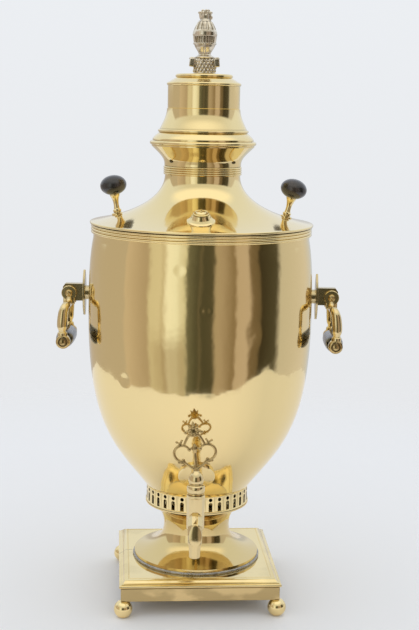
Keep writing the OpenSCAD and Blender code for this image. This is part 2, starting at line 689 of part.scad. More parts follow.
lid_curve = [[lid_r - 1.1, lid_z + lid_edge_h], [lid_r - 45.9, lid_z + lid_edge_h + 7.9],
  [neck_r, neck_z - 26.8], [neck_r, neck_z - neck_ring_h - 0.2]];
lid_line = concat(curve(lid_curve, 16), [[neck_r, neck_z]]);

module lid_solid() on_axis() turned(concat([[0, lid_z]], [[lid_r, lid_z]], lid_line, [[0, neck_z]]));

// Where the lid's curve has a radius, and the slope there
function curve_at(p, r, a = 0, b = 1, n = 20) = n == 0 ? (a + b) / 2 :
  let (m = (a + b) / 2) bezier(p, m)[0] > r ? curve_at(p, r, m, b, n - 1) : curve_at(p, r, a, m, n - 1);
function slope_at(p, t) = let (d = bezier(p, t + 0.01) - bezier(p, t - 0.01)) atan2(d[1], -d[0]);

// A frame on the lid at radius r: x points outwards, z off the surface
module on_lid(r, turn) {
  t = curve_at(lid_curve, r);
  on_axis() rotate(turn) translate([r, 0, bezier(lid_curve, t)[1]]) rotate([0, slope_at(lid_curve, t), 0])
      children();
}

// The frame of a knob on the lid, leaning outwards
module at_knob(side) on_axis() rotate(side > 0 ? 0 : 180)
  translate([knob_at, 0, bezier(lid_curve, curve_at(lid_curve, knob_at))[1]])
    rotate([0, side > 0 ? knob_lean_right : knob_lean_left, 0]) children();

lid_rim_r = mouth_r - body_wall - SLIP;

module lid() color(BRASS) difference() {
  on_axis() {
    turned(sheet(lid_line, lid_wall));
    turned([[lid_rim_r - lid_wall, lid_z], [lid_r - 0.6, lid_z], [lid_r, lid_z + 0.6],
        [lid_r, lid_z + lid_edge_h - 0.6],
      [lid_r - 0.6, lid_z + lid_edge_h], [lid_rim_r - lid_wall, lid_z + lid_edge_h]]);
    turned([[lid_rim_r - lid_wall, lid_z - lid_rim_h], [lid_rim_r, lid_z - lid_rim_h],
        [lid_rim_r, lid_z + 1],
      [lid_rim_r - lid_wall, lid_z + 1]]);
  }
  for (side = [-1, 1]) at_knob(side) translate([0, 0, -8]) cylinder(d = bolt_d, h = 16, $fn = 32);
  on_lid(vent_at, -90) translate([0, 0, -8]) cylinder(d = vent_bore, h = 16, $fn = 40);
}

module neck_ring() color(BRASS) on_axis() turned(reeds(neck_r, neck_z - neck_ring_h, neck_ring_h, 1.4, 4));

bolt_foot = -lid_wall - 4.4;

// A stem: a thin foot, a bead, a waist, and a flare under the wooden ball
module knob_stems() color(BRASS) for (side = [-1, 1]) {
  difference() {
    at_knob(side) rotate_extrude($fn = 40) polygon([[0, -1.8], [5.4, -1.8], [5.4, 1], [4.6, 1.6],
      [3.4, stem_h * 0.12], [4, stem_h * 0.17], [3.9, stem_h * 0.22], [2.9, stem_h * 0.27],
          [2.4, stem_h * 0.38],
      [2.4, stem_h * 0.5], [2.8, stem_h * 0.68], [3.5, stem_h * 0.82], [4.6, stem_h * 0.95], [4.6, stem_h],
      [0, stem_h]]);
    lid_solid();
  }
  at_knob(side) translate([0, 0, bolt_foot]) cylinder(d = bolt_d, h = stem_h - bolt_foot - 1 + knob_h / 2,
      $fn = 32);
}

nut_h = 3;
knob_c = stem_h + knob_h / 2 * sin(70);

module knob_balls() color(EBONY) for (side = [-1, 1]) at_knob(side) difference() {
  rotate_extrude($fn = 48) polygon(concat([[0, stem_h]],
    [for (a = [-70 : 16 : 90]) [knob_d / 2 * cos(a), knob_c + knob_h / 2 * sin(a)]]));
  translate([0, 0, stem_h - 1]) cylinder(d = bolt_d, h = knob_h / 2, $fn = 32);
}

module knob_nuts() color(BRASS) for (side = [-1, 1])
  at_knob(side) translate([0, 0, -lid_wall - nut_h - 0.7]) hex_nut(bolt_d + 3, nut_h, bolt_d);

module vent_boss() color(BRASS) difference() {
  on_lid(vent_at, -90) rotate_extrude($fn = 48) polygon([[vent_bore / 2, -2], [vent_d / 2, -2],
      [vent_d / 2, 0.8],
    [vent_d / 2 - 1, 1.4], [vent_top_d / 2, vent_h], [vent_bore / 2, vent_h]]);
  lid_solid();
}

module vent_cap() color(BRASS) on_lid(vent_at, -90) rotate_extrude($fn = 40) polygon([[0, -4],
  [vent_bore / 2 - SLIP, -4], [vent_bore / 2 - SLIP, vent_h + GAP], [vent_top_d / 2 - 0.8, vent_h + GAP],
  [vent_top_d / 2 - 0.8, vent_h + GAP + 1], [vent_top_d * 0.3, vent_h + GAP + 1.6],
  [vent_top_d * 0.3, vent_h + GAP + 3], [vent_top_d * 0.2, vent_h + GAP + 3.6], [0, vent_h + GAP + 3.8]]);

// ---- Crown and cap ---------------------------------------------------------

sleeve_r = neck_r - lid_wall - SLIP;
crown_curve = curve([[neck_r + 0.6, neck_z + GAP + 1.6], [neck_r + 0.8, neck_z + 7.5],
  [crown_r - 9.4, neck_z + 10.5], [crown_r - 1.7, crown_z - 1]], 8);

module crown() color(BRASS) on_axis() turned(concat([[sleeve_r, neck_z - sleeve_h],
    [sleeve_r, neck_z + GAP],
  [neck_r + 0.6, neck_z + GAP]], crown_curve, [[crown_r - 1.7, crown_z], [crown_r - 1.7 - cap_wall,
      crown_z]],
  [for (i = [len(crown_curve) - 1 : -1 : 0]) crown_curve[i] + cap_wall * inward(crown_curve, i)],
  [[sleeve_r - cap_wall, neck_z + GAP + 1.6], [sleeve_r - cap_wall, neck_z - sleeve_h]]));

module crown_lip() color(BRASS) on_axis() turned(concat([[crown_r - 4, crown_z]],
  arc([crown_r - lip_h / 2, crown_z + lip_h / 2], lip_h / 2, -90, 90, 6), [[crown_r - 4, lip_z]]));

skirt_in = crown_r - 4 - SLIP;
skirt_line = concat([[crown_r - 2.6, skirt_z]], curve([[crown_r - 2.6, skirt_z + 1.2], [crown_r - 3.6,
    skirt_z + 3.4],
  [skirt_ring_r + 0.6, skirt_z + 5.6], [skirt_ring_r - 1.2, skirt_z + 7.2]], 5),
  curve([[skirt_ring_r - 1.6, skirt_z + 10], [drum_r + 4, skirt_z + skirt_h * 0.57],
    [drum_r + 1, skirt_z + skirt_h * 0.73], [drum_r + 0.5, drum_z]], 7));

module cap_skirt() color(BRASS) on_axis() {
  turned(sheet(skirt_line, cap_wall));
  rotate_extrude($fn = 96) translate([skirt_ring_r - 1.4, skirt_z + 8.6]) circle(r = 1.4, $fn = 16);
  turned([[skirt_in - cap_wall, skirt_z - 4], [skirt_in, skirt_z - 4], [skirt_in, skirt_z],
    [crown_r - 2.6, skirt_z], [crown_r - 2.6, skirt_z + 1.2], [skirt_in - cap_wall, skirt_z + 1.2]]);
}

drum_top_z = drum_z + drum_h;

module cap_drum() color(BRASS) on_axis() turned([[drum_r, drum_z], [drum_r, drum_top_z - 4],
  [drum_r + 0.7, drum_top_z - 3.2], [drum_r + 0.9, drum_top_z - 1.8], [drum_r + 0.5, drum_top_z - 0.5],
  [drum_r - 0.6, drum_top_z], [disc_r + 0.6, disc_z - 0.4], [disc_r, disc_z], [finial_bolt_r, disc_z],
  [finial_bolt_r, disc_z - cap_wall], [disc_r, disc_z - cap_wall], [drum_r - cap_wall, drum_top_z - 1.4],
  [drum_r - cap_wall, drum_z]]);

finial_bolt_r = 2;

module cap_disc() color(BRASS) on_axis() turned(concat([[finial_bolt_r, disc_z]],
  arc([disc_r - disc_h / 2, disc_z + disc_h / 2], disc_h / 2, -90, 90, 6), [[finial_bolt_r, bust_z]]));

module finial_nut() color(BRASS) on_axis() translate([0, 0, disc_z - cap_wall - 3])
  hex_nut(7, 3, 2 * finial_bolt_r);

// An oval slab with rounded edges
module oval_slab(rx, ry, z0, z1) translate([0, 0, z0]) linear_extrude(z1 - z0)
  polygon([for (a = [0 : 15 : 345]) [rx * cos(a), ry * sin(a)]]);

chest_z = bust_z + bust_h * 0.4;
gorget_z = bust_z + bust_h * 0.8;

// The bust: a waist, a chest, two shoulder guards and the gorget that carries the helmet
module finial_bust() color(OLD_BRASS) on_axis() {
  translate([0, 0, disc_z - cap_wall - 4]) cylinder(r = finial_bolt_r, h = disc_h + cap_wall + 5, $fn = 32);
  oval_slab(shoulder_w * 0.72, shoulder_w * 0.52, bust_z, chest_z + 0.5);
  oval_slab(shoulder_w * 0.76, shoulder_w * 0.6, chest_z, gorget_z);
  for (s = [-1, 1]) rotate([90, 0, 0]) linear_extrude(shoulder_w * 0.9, center = true)
    polygon([[s * shoulder_w * 0.6, chest_z - 1], [s * shoulder_w * 0.98, chest_z - 0.6],
      [s * shoulder_w, chest_z + 0.6], [s * shoulder_w, gorget_z - 2], [s * shoulder_w * 0.92,
          gorget_z - 0.8],
      [s * shoulder_w * 0.6, gorget_z]]);
  translate([0, 0, gorget_z]) rotate_extrude($fn = 32) polygon([[0, -0.5], [helmet_r * 0.7, -0.5],
    [helmet_r * 0.84, 0.4], [helmet_r * 0.8, 1.2], [helmet_r * 0.62, 2], [helmet_r * 0.52,
        collar_z - gorget_z],
    [0, collar_z - gorget_z]]);
}

// The helmet's outline: bevor, visor, brow and dome
helmet_line = [[0, 0], [0.52, 0], [0.66, 0.1], [0.84, 0.22], [0.95, 0.33], [0.99, 0.42], [1.02, 0.5],
    [1.03, 0.6],
  [0.99, 0.66], [0.95, 0.72], [0.86, 0.82], [0.74, 0.92], [0.62, 1], [0, 1]];
visor_z = helmet_h * 0.35;
visor_h = helmet_h * 0.21;
visor_turn = 15;

// The visor is a row of barred slots under the brow
module finial_helmet() color(OLD_BRASS) on_axis() translate([0, 0, helmet_z]) difference() {
  rotate_extrude($fn = 48) polygon([for (q = helmet_line) [q[0] * helmet_r, q[1] * helmet_h]]);
  for (i = [-3 : 3]) rotate(i * visor_turn) translate([-0.8, -helmet_r - 1, visor_z]) cube([1.6, 2.2,
      visor_h]);
  for (i = [0 : 11]) rotate(15 + i * 30) translate([helmet_r * 1.06, 0, helmet_h * 0.7])
    rotate([0, -14, 0]) cylinder(r = 1, h = helmet_h * 0.4, $fn = 16);
}

// The plume is a tuft that swells over a tied neck and curls down on the right
tuft_r = plume_h * 0.66;

module finial_plume() color(OLD_BRASS) on_axis() translate([0, 0, plume_z]) {
  rotate_extrude($fn = 32) polygon([[0, 0], [helmet_r * 0.55, 0], [helmet_r * 0.52, plume_h * 0.2],
    [tuft_r * 0.9, plume_h * 0.36], [tuft_r, plume_h * 0.55], [tuft_r * 0.9, plume_h * 0.78],
    [tuft_r * 0.6, plume_h * 0.93], [0, plume_h]]);
  translate([tuft_r * 0.75, 0, plume_h * 0.3]) sphere(r = plume_h * 0.24, $fn = 20);
}

plinth_box();
plinth_top();
ball_feet();
pedestal();
foot_ring();
gallery();
body_shell();
fire_tube();
grate();
rim_band();
handle_mount_left();
handle_mount_right();
handle_pin_left();
handle_pin_right();
handle_arms_left();
handle_arms_right();
handle_grip_left();
handle_grip_right();
grip_caps_left();
grip_caps_right();
tap_flange();
tap_body();
tap_spout();
tap_back_nut();
tap_plug();
tap_key();
tap_washer();
lid();
neck_ring();
knob_stems();
knob_balls();
knob_nuts();
vent_boss();
vent_cap();
crown();
crown_lip();
cap_skirt();
cap_drum();
cap_disc();
finial_nut();
finial_bust();
finial_helmet();
finial_plume();
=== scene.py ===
# %% [markdown]
# # A brass samovar, dressed for its portrait
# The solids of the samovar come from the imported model, which is the frame of this scene. Brass is a
# mirror, so what makes it look real is the smoothness of its turned forms and the studio round it.
# The large turned pieces are therefore modelled again here with a fine outline, each where its solid is.

# %% Load the frame
import bpy
from math import atan2, cos, degrees, pi, radians, sin, sqrt
from mathutils import Matrix, Vector


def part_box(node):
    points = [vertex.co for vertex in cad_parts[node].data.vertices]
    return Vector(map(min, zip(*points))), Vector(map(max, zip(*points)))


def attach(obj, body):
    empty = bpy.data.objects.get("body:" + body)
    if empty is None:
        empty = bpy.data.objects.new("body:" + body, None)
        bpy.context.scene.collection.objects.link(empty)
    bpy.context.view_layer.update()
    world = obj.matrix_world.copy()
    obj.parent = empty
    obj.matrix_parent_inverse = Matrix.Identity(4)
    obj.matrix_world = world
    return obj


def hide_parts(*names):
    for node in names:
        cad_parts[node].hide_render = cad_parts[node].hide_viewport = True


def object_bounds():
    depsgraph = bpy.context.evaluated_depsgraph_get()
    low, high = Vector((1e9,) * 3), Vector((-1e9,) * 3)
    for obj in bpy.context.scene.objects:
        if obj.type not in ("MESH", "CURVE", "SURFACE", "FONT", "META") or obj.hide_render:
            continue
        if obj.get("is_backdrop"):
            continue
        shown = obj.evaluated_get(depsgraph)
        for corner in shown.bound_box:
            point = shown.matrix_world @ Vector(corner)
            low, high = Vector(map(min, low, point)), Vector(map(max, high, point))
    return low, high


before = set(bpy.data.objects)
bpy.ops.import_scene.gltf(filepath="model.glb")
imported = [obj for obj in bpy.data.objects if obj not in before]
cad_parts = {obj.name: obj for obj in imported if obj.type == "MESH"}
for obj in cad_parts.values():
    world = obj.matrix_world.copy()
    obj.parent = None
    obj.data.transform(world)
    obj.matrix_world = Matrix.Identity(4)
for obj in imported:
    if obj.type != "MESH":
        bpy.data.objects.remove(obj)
cad_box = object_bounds()
print("nodes:", len(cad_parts), "box:", cad_box)

# %% [markdown]
# The samovar is turned about one upright axis. It stands a little behind the middle of the outline,
# because the tap reaches forward, so its place is measured on the body.

# %% Measure the axis
low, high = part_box("body_shell")
AXIS_Y = (low[1] + high[1]) / 2
ON_AXIS = Matrix.Translation((0, AXIS_Y, 0))
MM = 0.001
print("axis at y =", round(AXIS_Y, 5))

# %% [markdown]
# ## The camera
# The photograph looks down a little from straight in front. The picture is 419 by 630, and the lens is
# given for its long side. The samovar leans one degree to the right in the picture, which is a roll of
# the camera.

# %% Place the camera
FRAME_H = 630
SENSOR = 36
FOCAL_PX = 1210
CAMERA_BACK = 1.1219
CAMERA_UP = 0.4613
CAMERA_SIDE = 0.0089
PITCH = 9.73
ROLL = 1.1

camera_data = bpy.data.cameras.new("portrait_lens")
camera_data.lens = FOCAL_PX * SENSOR / FRAME_H
camera_data.sensor_fit = "AUTO"
camera_data.clip_start = 0.05
camera = bpy.data.objects.new("portrait_camera", camera_data)
bpy.context.collection.objects.link(camera)
camera.matrix_world = (
    Matrix.Translation((CAMERA_SIDE, AXIS_Y - CAMERA_BACK, CAMERA_UP))
    @ Matrix.Rotation(radians(90 - PITCH), 4, "X")
    @ Matrix.Rotation(radians(ROLL), 4, "Z")
)
bpy.context.scene.camera = camera
print("lens:", round(camera_data.lens, 1), "mm")

# %% [markdown]
# ## Shaders as sums
# A material is a graph of nodes. Two small classes let it be written as expressions: a Value wraps a
# socket and knows sums, and a Graph adds nodes and links what they are given.


# %% Shader helpers
class Value:
    """A socket that can be used in sums."""

    def __init__(self, graph, socket):
        self.graph, self.socket = graph, socket

    def math(self, operation, a, b=0.0):
        return self.graph.node("Math", {0: a, 1: b}, operation=operation).out()

    def __add__(self, other):
        return self.math("ADD", self, other)

    __radd__ = __add__

    def __sub__(self, other):
        return self.math("SUBTRACT", self, other)

    def __rsub__(self, other):
        return self.math("SUBTRACT", other, self)

    def __mul__(self, other):
        return self.math("MULTIPLY", self, other)

    __rmul__ = __mul__

    def __pow__(self, other):
        return self.math("POWER", self, other)


class Made:
    """A node that was added, with its outputs as values."""

    def __init__(self, graph, node):
        self.graph, self.node = graph, node

    def out(self, name=0):
        return Value(self.graph, self.node.outputs[name])


class Graph:
    """A node tree of a material or of the world."""

    def __init__(self, tree):
        self.tree = tree
        tree.nodes.clear()

    def node(self, kind, inputs=None, stops=None, **settings):
        made = self.tree.nodes.new("ShaderNode" + kind)
        for name, setting in settings.items():
            setattr(made, name, setting)
        if stops:
            ramp = made.color_ramp
            ends = [ramp.elements[0], ramp.elements[1]]
            for end, (place, _) in zip(ends, (stops[0], stops[-1])):
                end.position = place
            for place, _ in stops[1:-1]:
                ramp.elements.new(place)
            for stop, (_, tone) in zip(ramp.elements, stops):
                stop.color = tone if hasattr(tone, "__len__") else (tone, tone, tone, 1)
        for name, given in (inputs or {}).items():
            self.put(made.inputs[name], given)
        return Made(self, made)

    def put(self, socket, given):
        if isinstance(given, Value):
            self.tree.links.new(given.socket, socket)
        else:
            socket.default_value = given

    def mix(self, factor, a, b):
        """Two colours mixed by a mask."""
        made = self.node("Mix", data_type="RGBA")
        self.put(made.node.inputs[0], factor)
        self.put(made.node.inputs[6], a)
        self.put(made.node.inputs[7], b)
        return made.out(2)


# %% [markdown]
# A finish starts as an empty graph that knows the place on the object, and it ends in one shader.


# %% Start and end a finish
def finish_named(name):
    """A new material's graph, with the place on the object in it."""
    material = bpy.data.materials.new(name)
    material.use_nodes = True
    graph = Graph(material.node_tree)
    graph.material = material
    graph.place = graph.node("TexCoord").out("Object")
    return graph


def close(graph, **sockets):
    """Ends a material with its shader. A socket is named with _ for each space."""
    inputs = {name.replace("_", " "): given for name, given in sockets.items()}
    graph.node("OutputMaterial", {"Surface": graph.node("BsdfPrincipled", inputs).out()})
    print("finish:", graph.material.name)
    return graph.material


# %% [markdown]
# What varies over a surface is drawn with masks: noise at the size of what it stands for, a band between
# two heights, a spot about a place, or a ramp that picks out part of a value.


# %% Masks
def noise(graph, scale, detail=2.0, stretch=(1, 1, 1)):
    """Cloudy values about 0.5 on the object, at a scale per metre."""
    place = graph.node("Mapping", {"Vector": graph.place, "Scale": stretch}).out()
    return graph.node("TexNoise", {"Vector": place, "Scale": scale, "Detail": detail}).out()


def band(graph, value, inner, outer):
    """1 below inner, 0 above outer, smooth between."""
    inputs = {"Value": value, "From Min": inner, "From Max": outer, "To Min": 1.0, "To Max": 0.0}
    return graph.node("MapRange", inputs, interpolation_type="SMOOTHSTEP").out()


def above(graph, value, foot, top):
    """0 below foot, 1 above top, smooth between."""
    return 1 - band(graph, value, foot, top)


def ramp(graph, value, *stops):
    """The tones of a ramp, from (place, tone) pairs."""
    return graph.node("ValToRGB", {"Fac": value}, stops=stops).out()


def split(graph, vector):
    """The x, y and z of a vector."""
    parts = graph.node("SeparateXYZ", {0: vector})
    return parts.out("X"), parts.out("Y"), parts.out("Z")


def near(graph, x, y, z, reach):
    """A soft spot about a place on the object, in metres."""
    away = graph.node("VectorMath", {0: graph.place, 1: (x, y, z)}, operation="DISTANCE").out("Value")
    return band(graph, away, 0.0, reach)


def bumped(graph, *heights):
    """Normals raised by (height, distance) pairs."""
    normal = None
    for height, distance in heights:
        inputs = {"Height": height, "Distance": distance, "Strength": 1.0}
        if normal:
            inputs["Normal"] = normal
        normal = graph.node("Bump", inputs).out()
    return normal


# %% [markdown]
# ## Finishes
# Polished brass is pale gold. Old hand-beaten sheet is never quite flat, so broad, shallow waves bend
# its reflections, a few knocks have left dents, and a thin film dulls it here and there. The hollows of
# turned work are painted darker, partly as grime and partly as painted shade, and a thin painted shadow
# lies in the gap under the lid. Inside the pierced gallery the metal is painted black and dull, as
# painted shade for the dark in there, and the vessel is tinned inside.


# %% Polished brass
DENTS = [
    ((-0.018, -0.103, 0.324), 0.007),
    ((0.006, -0.104, 0.290), 0.006),
    ((-0.066, -0.080, 0.223), 0.009),
    ((0.074, -0.070, 0.218), 0.011),
    ((0.045, -0.092, 0.268), 0.014),
    ((-0.094, -0.044, 0.309), 0.012),
    ((0.060, 0.084, 0.250), 0.014),
    ((-0.050, 0.091, 0.300), 0.010),
]

PALE_BRASS = (0.925, 0.765, 0.405)
# The dark tone of the hollows is partly grime and partly painted shade.
HOLLOW_GRIME_AND_SHADE, LID_GAP_SHADOW, TINNING = (0.13, 0.095, 0.045, 1), (0.09, 0.065, 0.035, 1), (0.52, 0.51, 0.48, 1)
INNER_SHADE, STAIN, SEAM = (0.010, 0.008, 0.006, 1), (0.34, 0.26, 0.12, 1), (0.1, 0.085, 0.06, 1)
# The dark band between these heights, outside this radius, is a painted shadow in the gap between the lid
# and the rim.
JOINT_FOOT, JOINT_TOP, JOINT_R = 353.85 * MM, 354.75 * MM, 100.5 * MM
# The black inside the gallery, within this radius and between these heights, is painted shade.
INNER_SHADE_FOOT, INNER_SHADE_TOP, INNER_SHADE_R = 88.4 * MM, 105.0 * MM, 48.0 * MM
SEAM_Y, SEAM_X = 3.5 * MM, -62.5 * MM


def pointiness(graph):
    return graph.node("NewGeometry").out("Pointiness")


def polished_brass(name, wave, dull=0.0, tint=PALE_BRASS, dents=(), grime_and_shade=0.0, tinned=False, stain=0.0):
    """Brass with a wave in its sheet in metres. A stain comes with the seam of the plinth's left side."""
    graph = finish_named(name)
    x, y, z = split(graph, graph.place)
    y = y - AXIS_Y
    from_axis = (x * x + y * y) ** 0.5
    tired = (tint[0] * 0.95, tint[1] * 0.93, tint[2] * 0.86, 1)
    colour = graph.mix(noise(graph, 9, 3) * 0.5, (*tint, 1), tired)
    # Hollows, found by pointiness, are mixed towards a dark tone: partly grime, partly painted shade.
    if grime_and_shade:
        colour = graph.mix(ramp(graph, pointiness(graph), (0.42, 1.0), (0.49, 0.0)) * grime_and_shade, colour, HOLLOW_GRIME_AND_SHADE)
    # A thin dark band in the gap between the lid and the rim is a painted shadow.
    gap_shadow = above(graph, z, JOINT_FOOT, JOINT_FOOT + 0.15 * MM)
    gap_shadow = gap_shadow * band(graph, z, JOINT_TOP, JOINT_TOP + 0.15 * MM)
    gap_shadow = gap_shadow * above(graph, from_axis, JOINT_R, JOINT_R + 0.5 * MM)
    colour = graph.mix(gap_shadow * 0.85, colour, LID_GAP_SHADOW)
    # Inside the gallery the metal is painted black, dull and not metallic: painted shade for the dark in
    # there.
    inner_shade = band(graph, from_axis, INNER_SHADE_R, INNER_SHADE_R + 0.2 * MM) * band(graph, z, INNER_SHADE_TOP, INNER_SHADE_TOP + 1.2 * MM)
    inner_shade = inner_shade * above(graph, z, INNER_SHADE_FOOT, INNER_SHADE_FOOT + 0.4 * MM)
    scratch = noise(graph, 700, 2, (1, 1, 0.08))
    rough = 0.045 + dull + noise(graph, 60, 4) * 0.05 + scratch * 0.03 + inner_shade * 0.8
    if tinned:
        outwards = graph.node("CombineXYZ", {0: x, 1: y, 2: 0.0}).out()
        normal = graph.node("NewGeometry").out("Normal")
        facing = graph.node("VectorMath", {0: normal, 1: outwards}, operation="DOT_PRODUCT").out("Value")
        tin = band(graph, facing, -0.003, -0.001)
        colour = graph.mix(tin, colour, TINNING)
        rough = rough + tin * 0.28
    colour = graph.mix(inner_shade, colour, INNER_SHADE)
    if stain:
        patch = ramp(graph, noise(graph, 24, 3, (1, 1, 2.5)), (0.46, 0.0), (0.56, 1.0))
        colour = graph.mix(patch * stain, colour, STAIN)
        across = graph.node("Math", {0: y - SEAM_Y}, operation="ABSOLUTE").out()
        seam = band(graph, across, 0.2 * MM, 0.5 * MM) * band(graph, x, SEAM_X, SEAM_X + 1 * MM)
        colour = graph.mix(seam * 0.8, colour, SEAM)
    heights = [(noise(graph, 14, 1), wave), (noise(graph, 55, 2), wave * 0.12)]
    if dents:
        dip = 0
        for (px, py, pz), reach in dents:
            dip = dip - near(graph, px, py + AXIS_Y, pz, reach)
        heights.append((dip, 0.35 * MM))
    normal = bumped(graph, *heights)
    return close(graph, Base_Color=colour, Metallic=1.0 - inner_shade, Roughness=rough, Normal=normal)


# %% [markdown]
# One recipe serves every brass part. Beaten sheet waves more than turned work, castings are duller,
# and turned work and castings are painted darker in their hollows, partly as grime and partly as
# painted shade.

# %% The brasses
BRASS = polished_brass("polished_brass", 0.8 * MM)
BEATEN_BRASS = polished_brass("beaten_brass", 1.6 * MM, dents=DENTS, tinned=True)
BRASS_TURNED = polished_brass("turned_brass", 0.25 * MM, 0.02, grime_and_shade=0.85)
CAST_BRASS = polished_brass("cast_brass", 0.5 * MM, 0.05, (0.80, 0.655, 0.36), grime_and_shade=0.6)
MOUNT_BRASS = polished_brass("mount_brass", 0.5 * MM, 0.08, (0.60, 0.50, 0.29), grime_and_shade=0.7)
DEEP_BRASS = polished_brass("deep_brass", 1.0 * MM, 0.01, (0.77, 0.61, 0.295))
PLINTH_BRASS = polished_brass("plinth_brass", 0.9 * MM, stain=0.12)
# The plinth's sides take a darker brass than its top: painted shade for the shaded table that they mirror.
SHADED_SIDE_BRASS = polished_brass("plinth_side_brass", 2.2 * MM, 0.03, (0.72, 0.565, 0.29), stain=0.55)


# %% [markdown]
# The finial, the key and the handle arms are castings. The finial is of a paler, silvery old brass and
# the key of a brown one, both painted near black, duller and rougher in their hollows as painted shade.


# %% Old brass
def old_brass(name, worn, stained):
    graph = finish_named(name)
    grime_and_shade = ramp(graph, noise(graph, 220, 4), (0.42, 0.0), (0.7, 1.0))
    # Hollows, found by pointiness, are painted near black, duller and rougher: painted shade.
    hollow_shade = ramp(graph, pointiness(graph), (0.44, 1.0), (0.505, 0.0))
    colour = graph.mix(grime_and_shade * 0.7, (*worn, 1), (*stained, 1))
    black = (stained[0] * 0.2, stained[1] * 0.18, stained[2] * 0.15, 1)
    return close(
        graph,
        Base_Color=graph.mix(hollow_shade, colour, black),
        Metallic=1.0 - hollow_shade * 0.3,
        Roughness=0.10 + noise(graph, 300, 3) * 0.12 + hollow_shade * 0.25,
        Normal=bumped(graph, (noise(graph, 420, 3), 0.08 * MM)),
    )


OLD_BRASS = old_brass("old_brass", (0.88, 0.81, 0.66), (0.36, 0.30, 0.20))
BROWN_BRASS = old_brass("brown_brass", (0.62, 0.47, 0.22), (0.28, 0.20, 0.08))


# %% [markdown]
# The knobs and grips are turned wood, stained black and polished by hands, with a brown grain that
# shows where the stain is thin.


# %% Ebonised wood
def ebonised_wood():
    graph = finish_named("ebonised_wood")
    grain = noise(graph, 260, 4, (1, 0.12, 1))
    worn = ramp(graph, noise(graph, 90, 4), (0.5, 0.0), (0.72, 1.0))
    colour = graph.mix(worn * 0.55 + grain * 0.12, (0.008, 0.008, 0.008, 1), (0.075, 0.05, 0.034, 1))
    return close(
        graph,
        Base_Color=colour,
        Roughness=0.2 + grain * 0.16,
        Coat_Weight=0.6,
        Normal=bumped(graph, (grain, 0.05 * MM)),
    )


EBONY = ebonised_wood()


# %% [markdown]
# The band between pedestal and plinth is soft solder, run on by hand: grey, lumpy and dull.


# %% Solder, tin and iron
def dull_metal(name, dark, light, rough, scale, lumps):
    graph = finish_named(name)
    patch = noise(graph, scale, 4)
    return close(
        graph,
        Base_Color=graph.mix(patch, (*dark, 1), (*light, 1)),
        Metallic=0.85,
        Roughness=rough + patch * 0.2,
        Normal=bumped(graph, (noise(graph, scale * 1.5, 3), lumps)),
    )


SOLDER = dull_metal("solder", (0.13, 0.12, 0.105), (0.62, 0.60, 0.55), 0.18, 130, 1.2 * MM)
TIN = dull_metal("tinned_tube", (0.22, 0.21, 0.19), (0.5, 0.49, 0.46), 0.35, 60, 0.4 * MM)
IRON = dull_metal("grate_iron", (0.03, 0.03, 0.03), (0.1, 0.09, 0.08), 0.5, 200, 0.4 * MM)

# %% [markdown]
# ## Turning
# A turned piece is an outline carried round the axis. One vertex is extruded along the outline and then
# spun, as on a lathe, and the seam is merged. Curves in the outline are Bezier stretches, sampled finely
# enough that a mirror shows no flats.


# %% Outline helpers
def bend(start, pull, push, end, count=14):
    """Points on a Bezier curve, in millimetres."""
    points = []
    for i in range(count + 1):
        t = i / count
        weights = ((1 - t) ** 3, 3 * (1 - t) ** 2 * t, 3 * (1 - t) * t * t, t**3)
        corners = (start, pull, push, end)
        points.append(tuple(sum(w * c[axis] for w, c in zip(weights, corners)) for axis in (0, 1)))
    return points


def round_arc(centre, radius, first, last, count=8, squash=1.0):
    """Points on an arc, from one angle to another in degrees."""
    steps = [radians(first + (last - first) * i / count) for i in range(count + 1)]
    return [(centre[0] + radius * cos(a), centre[1] + squash * radius * sin(a)) for a in steps]


def reeds(radius, foot, height, proud, count):
    """The outline of a band of half-round reeds."""
    pitch = height / count
    points = [(radius, foot)]
    for i in range(count):
        middle = (radius + proud - pitch / 2, foot + pitch * (i + 0.5))
        points += round_arc(middle, pitch / 2, -84, 84, 8, 0.97)
    return points + [(radius, foot + height)]


def sheet_of(outline, wall):
    """An outline closed by a second one, a wall's thickness inside it."""
    inner = []
    for i, point in enumerate(outline):
        before, after = outline[max(i - 1, 0)], outline[min(i + 1, len(outline) - 1)]
        run = Vector((after[0] - before[0], after[1] - before[1])).normalized()
        inner.append((point[0] - wall * run.y, point[1] + wall * run.x))
    return outline + inner[::-1]


# %% [markdown]
# An operator acts on all that is selected. So a piece begins with nothing selected and one vertex of its
# own, and it ends with its doubles merged, its faces outwards, its shading by angle and its paint.

# %% Start and end a mesh
def select_none():
    if bpy.context.object and bpy.context.object.mode != "OBJECT":
        bpy.ops.object.mode_set(mode="OBJECT")
    bpy.ops.object.select_all(action="DESELECT")


def edit_all():
    """Edit mode, with the whole mesh selected."""
    bpy.ops.object.mode_set(mode="EDIT")
    bpy.ops.mesh.select_all(action="SELECT")


def draw(points):
    """Takes the only vertex to the first point and extrudes it along the others."""
    bpy.ops.transform.translate(value=points[0])
    for before, after in zip(points, points[1:]):
        bpy.ops.mesh.extrude_region_move(TRANSFORM_OT_translate={"value": after - before})


def start_mesh(name):
    """A new object in edit mode with a single vertex at its origin."""
    select_none()
    bpy.ops.mesh.primitive_plane_add(size=0.01, location=(0, 0, 0))
    made = bpy.context.object
    made.name = name
    edit_all()
    bpy.ops.mesh.merge(type="CENTER")
    return made


def paint(made, material):
    made.data.materials.clear()
    made.data.materials.append(material)


def end_mesh(made, material, smooth=32, merge=1e-6):
    """Merges doubles, turns the faces outwards, shades and paints."""
    bpy.ops.mesh.select_all(action="SELECT")
    bpy.ops.mesh.remove_doubles(threshold=merge)
    bpy.ops.mesh.normals_make_consistent(inside=False)
    bpy.ops.object.mode_set(mode="OBJECT")
    bpy.ops.object.shade_smooth_by_angle(angle=radians(smooth))
    paint(made, material)


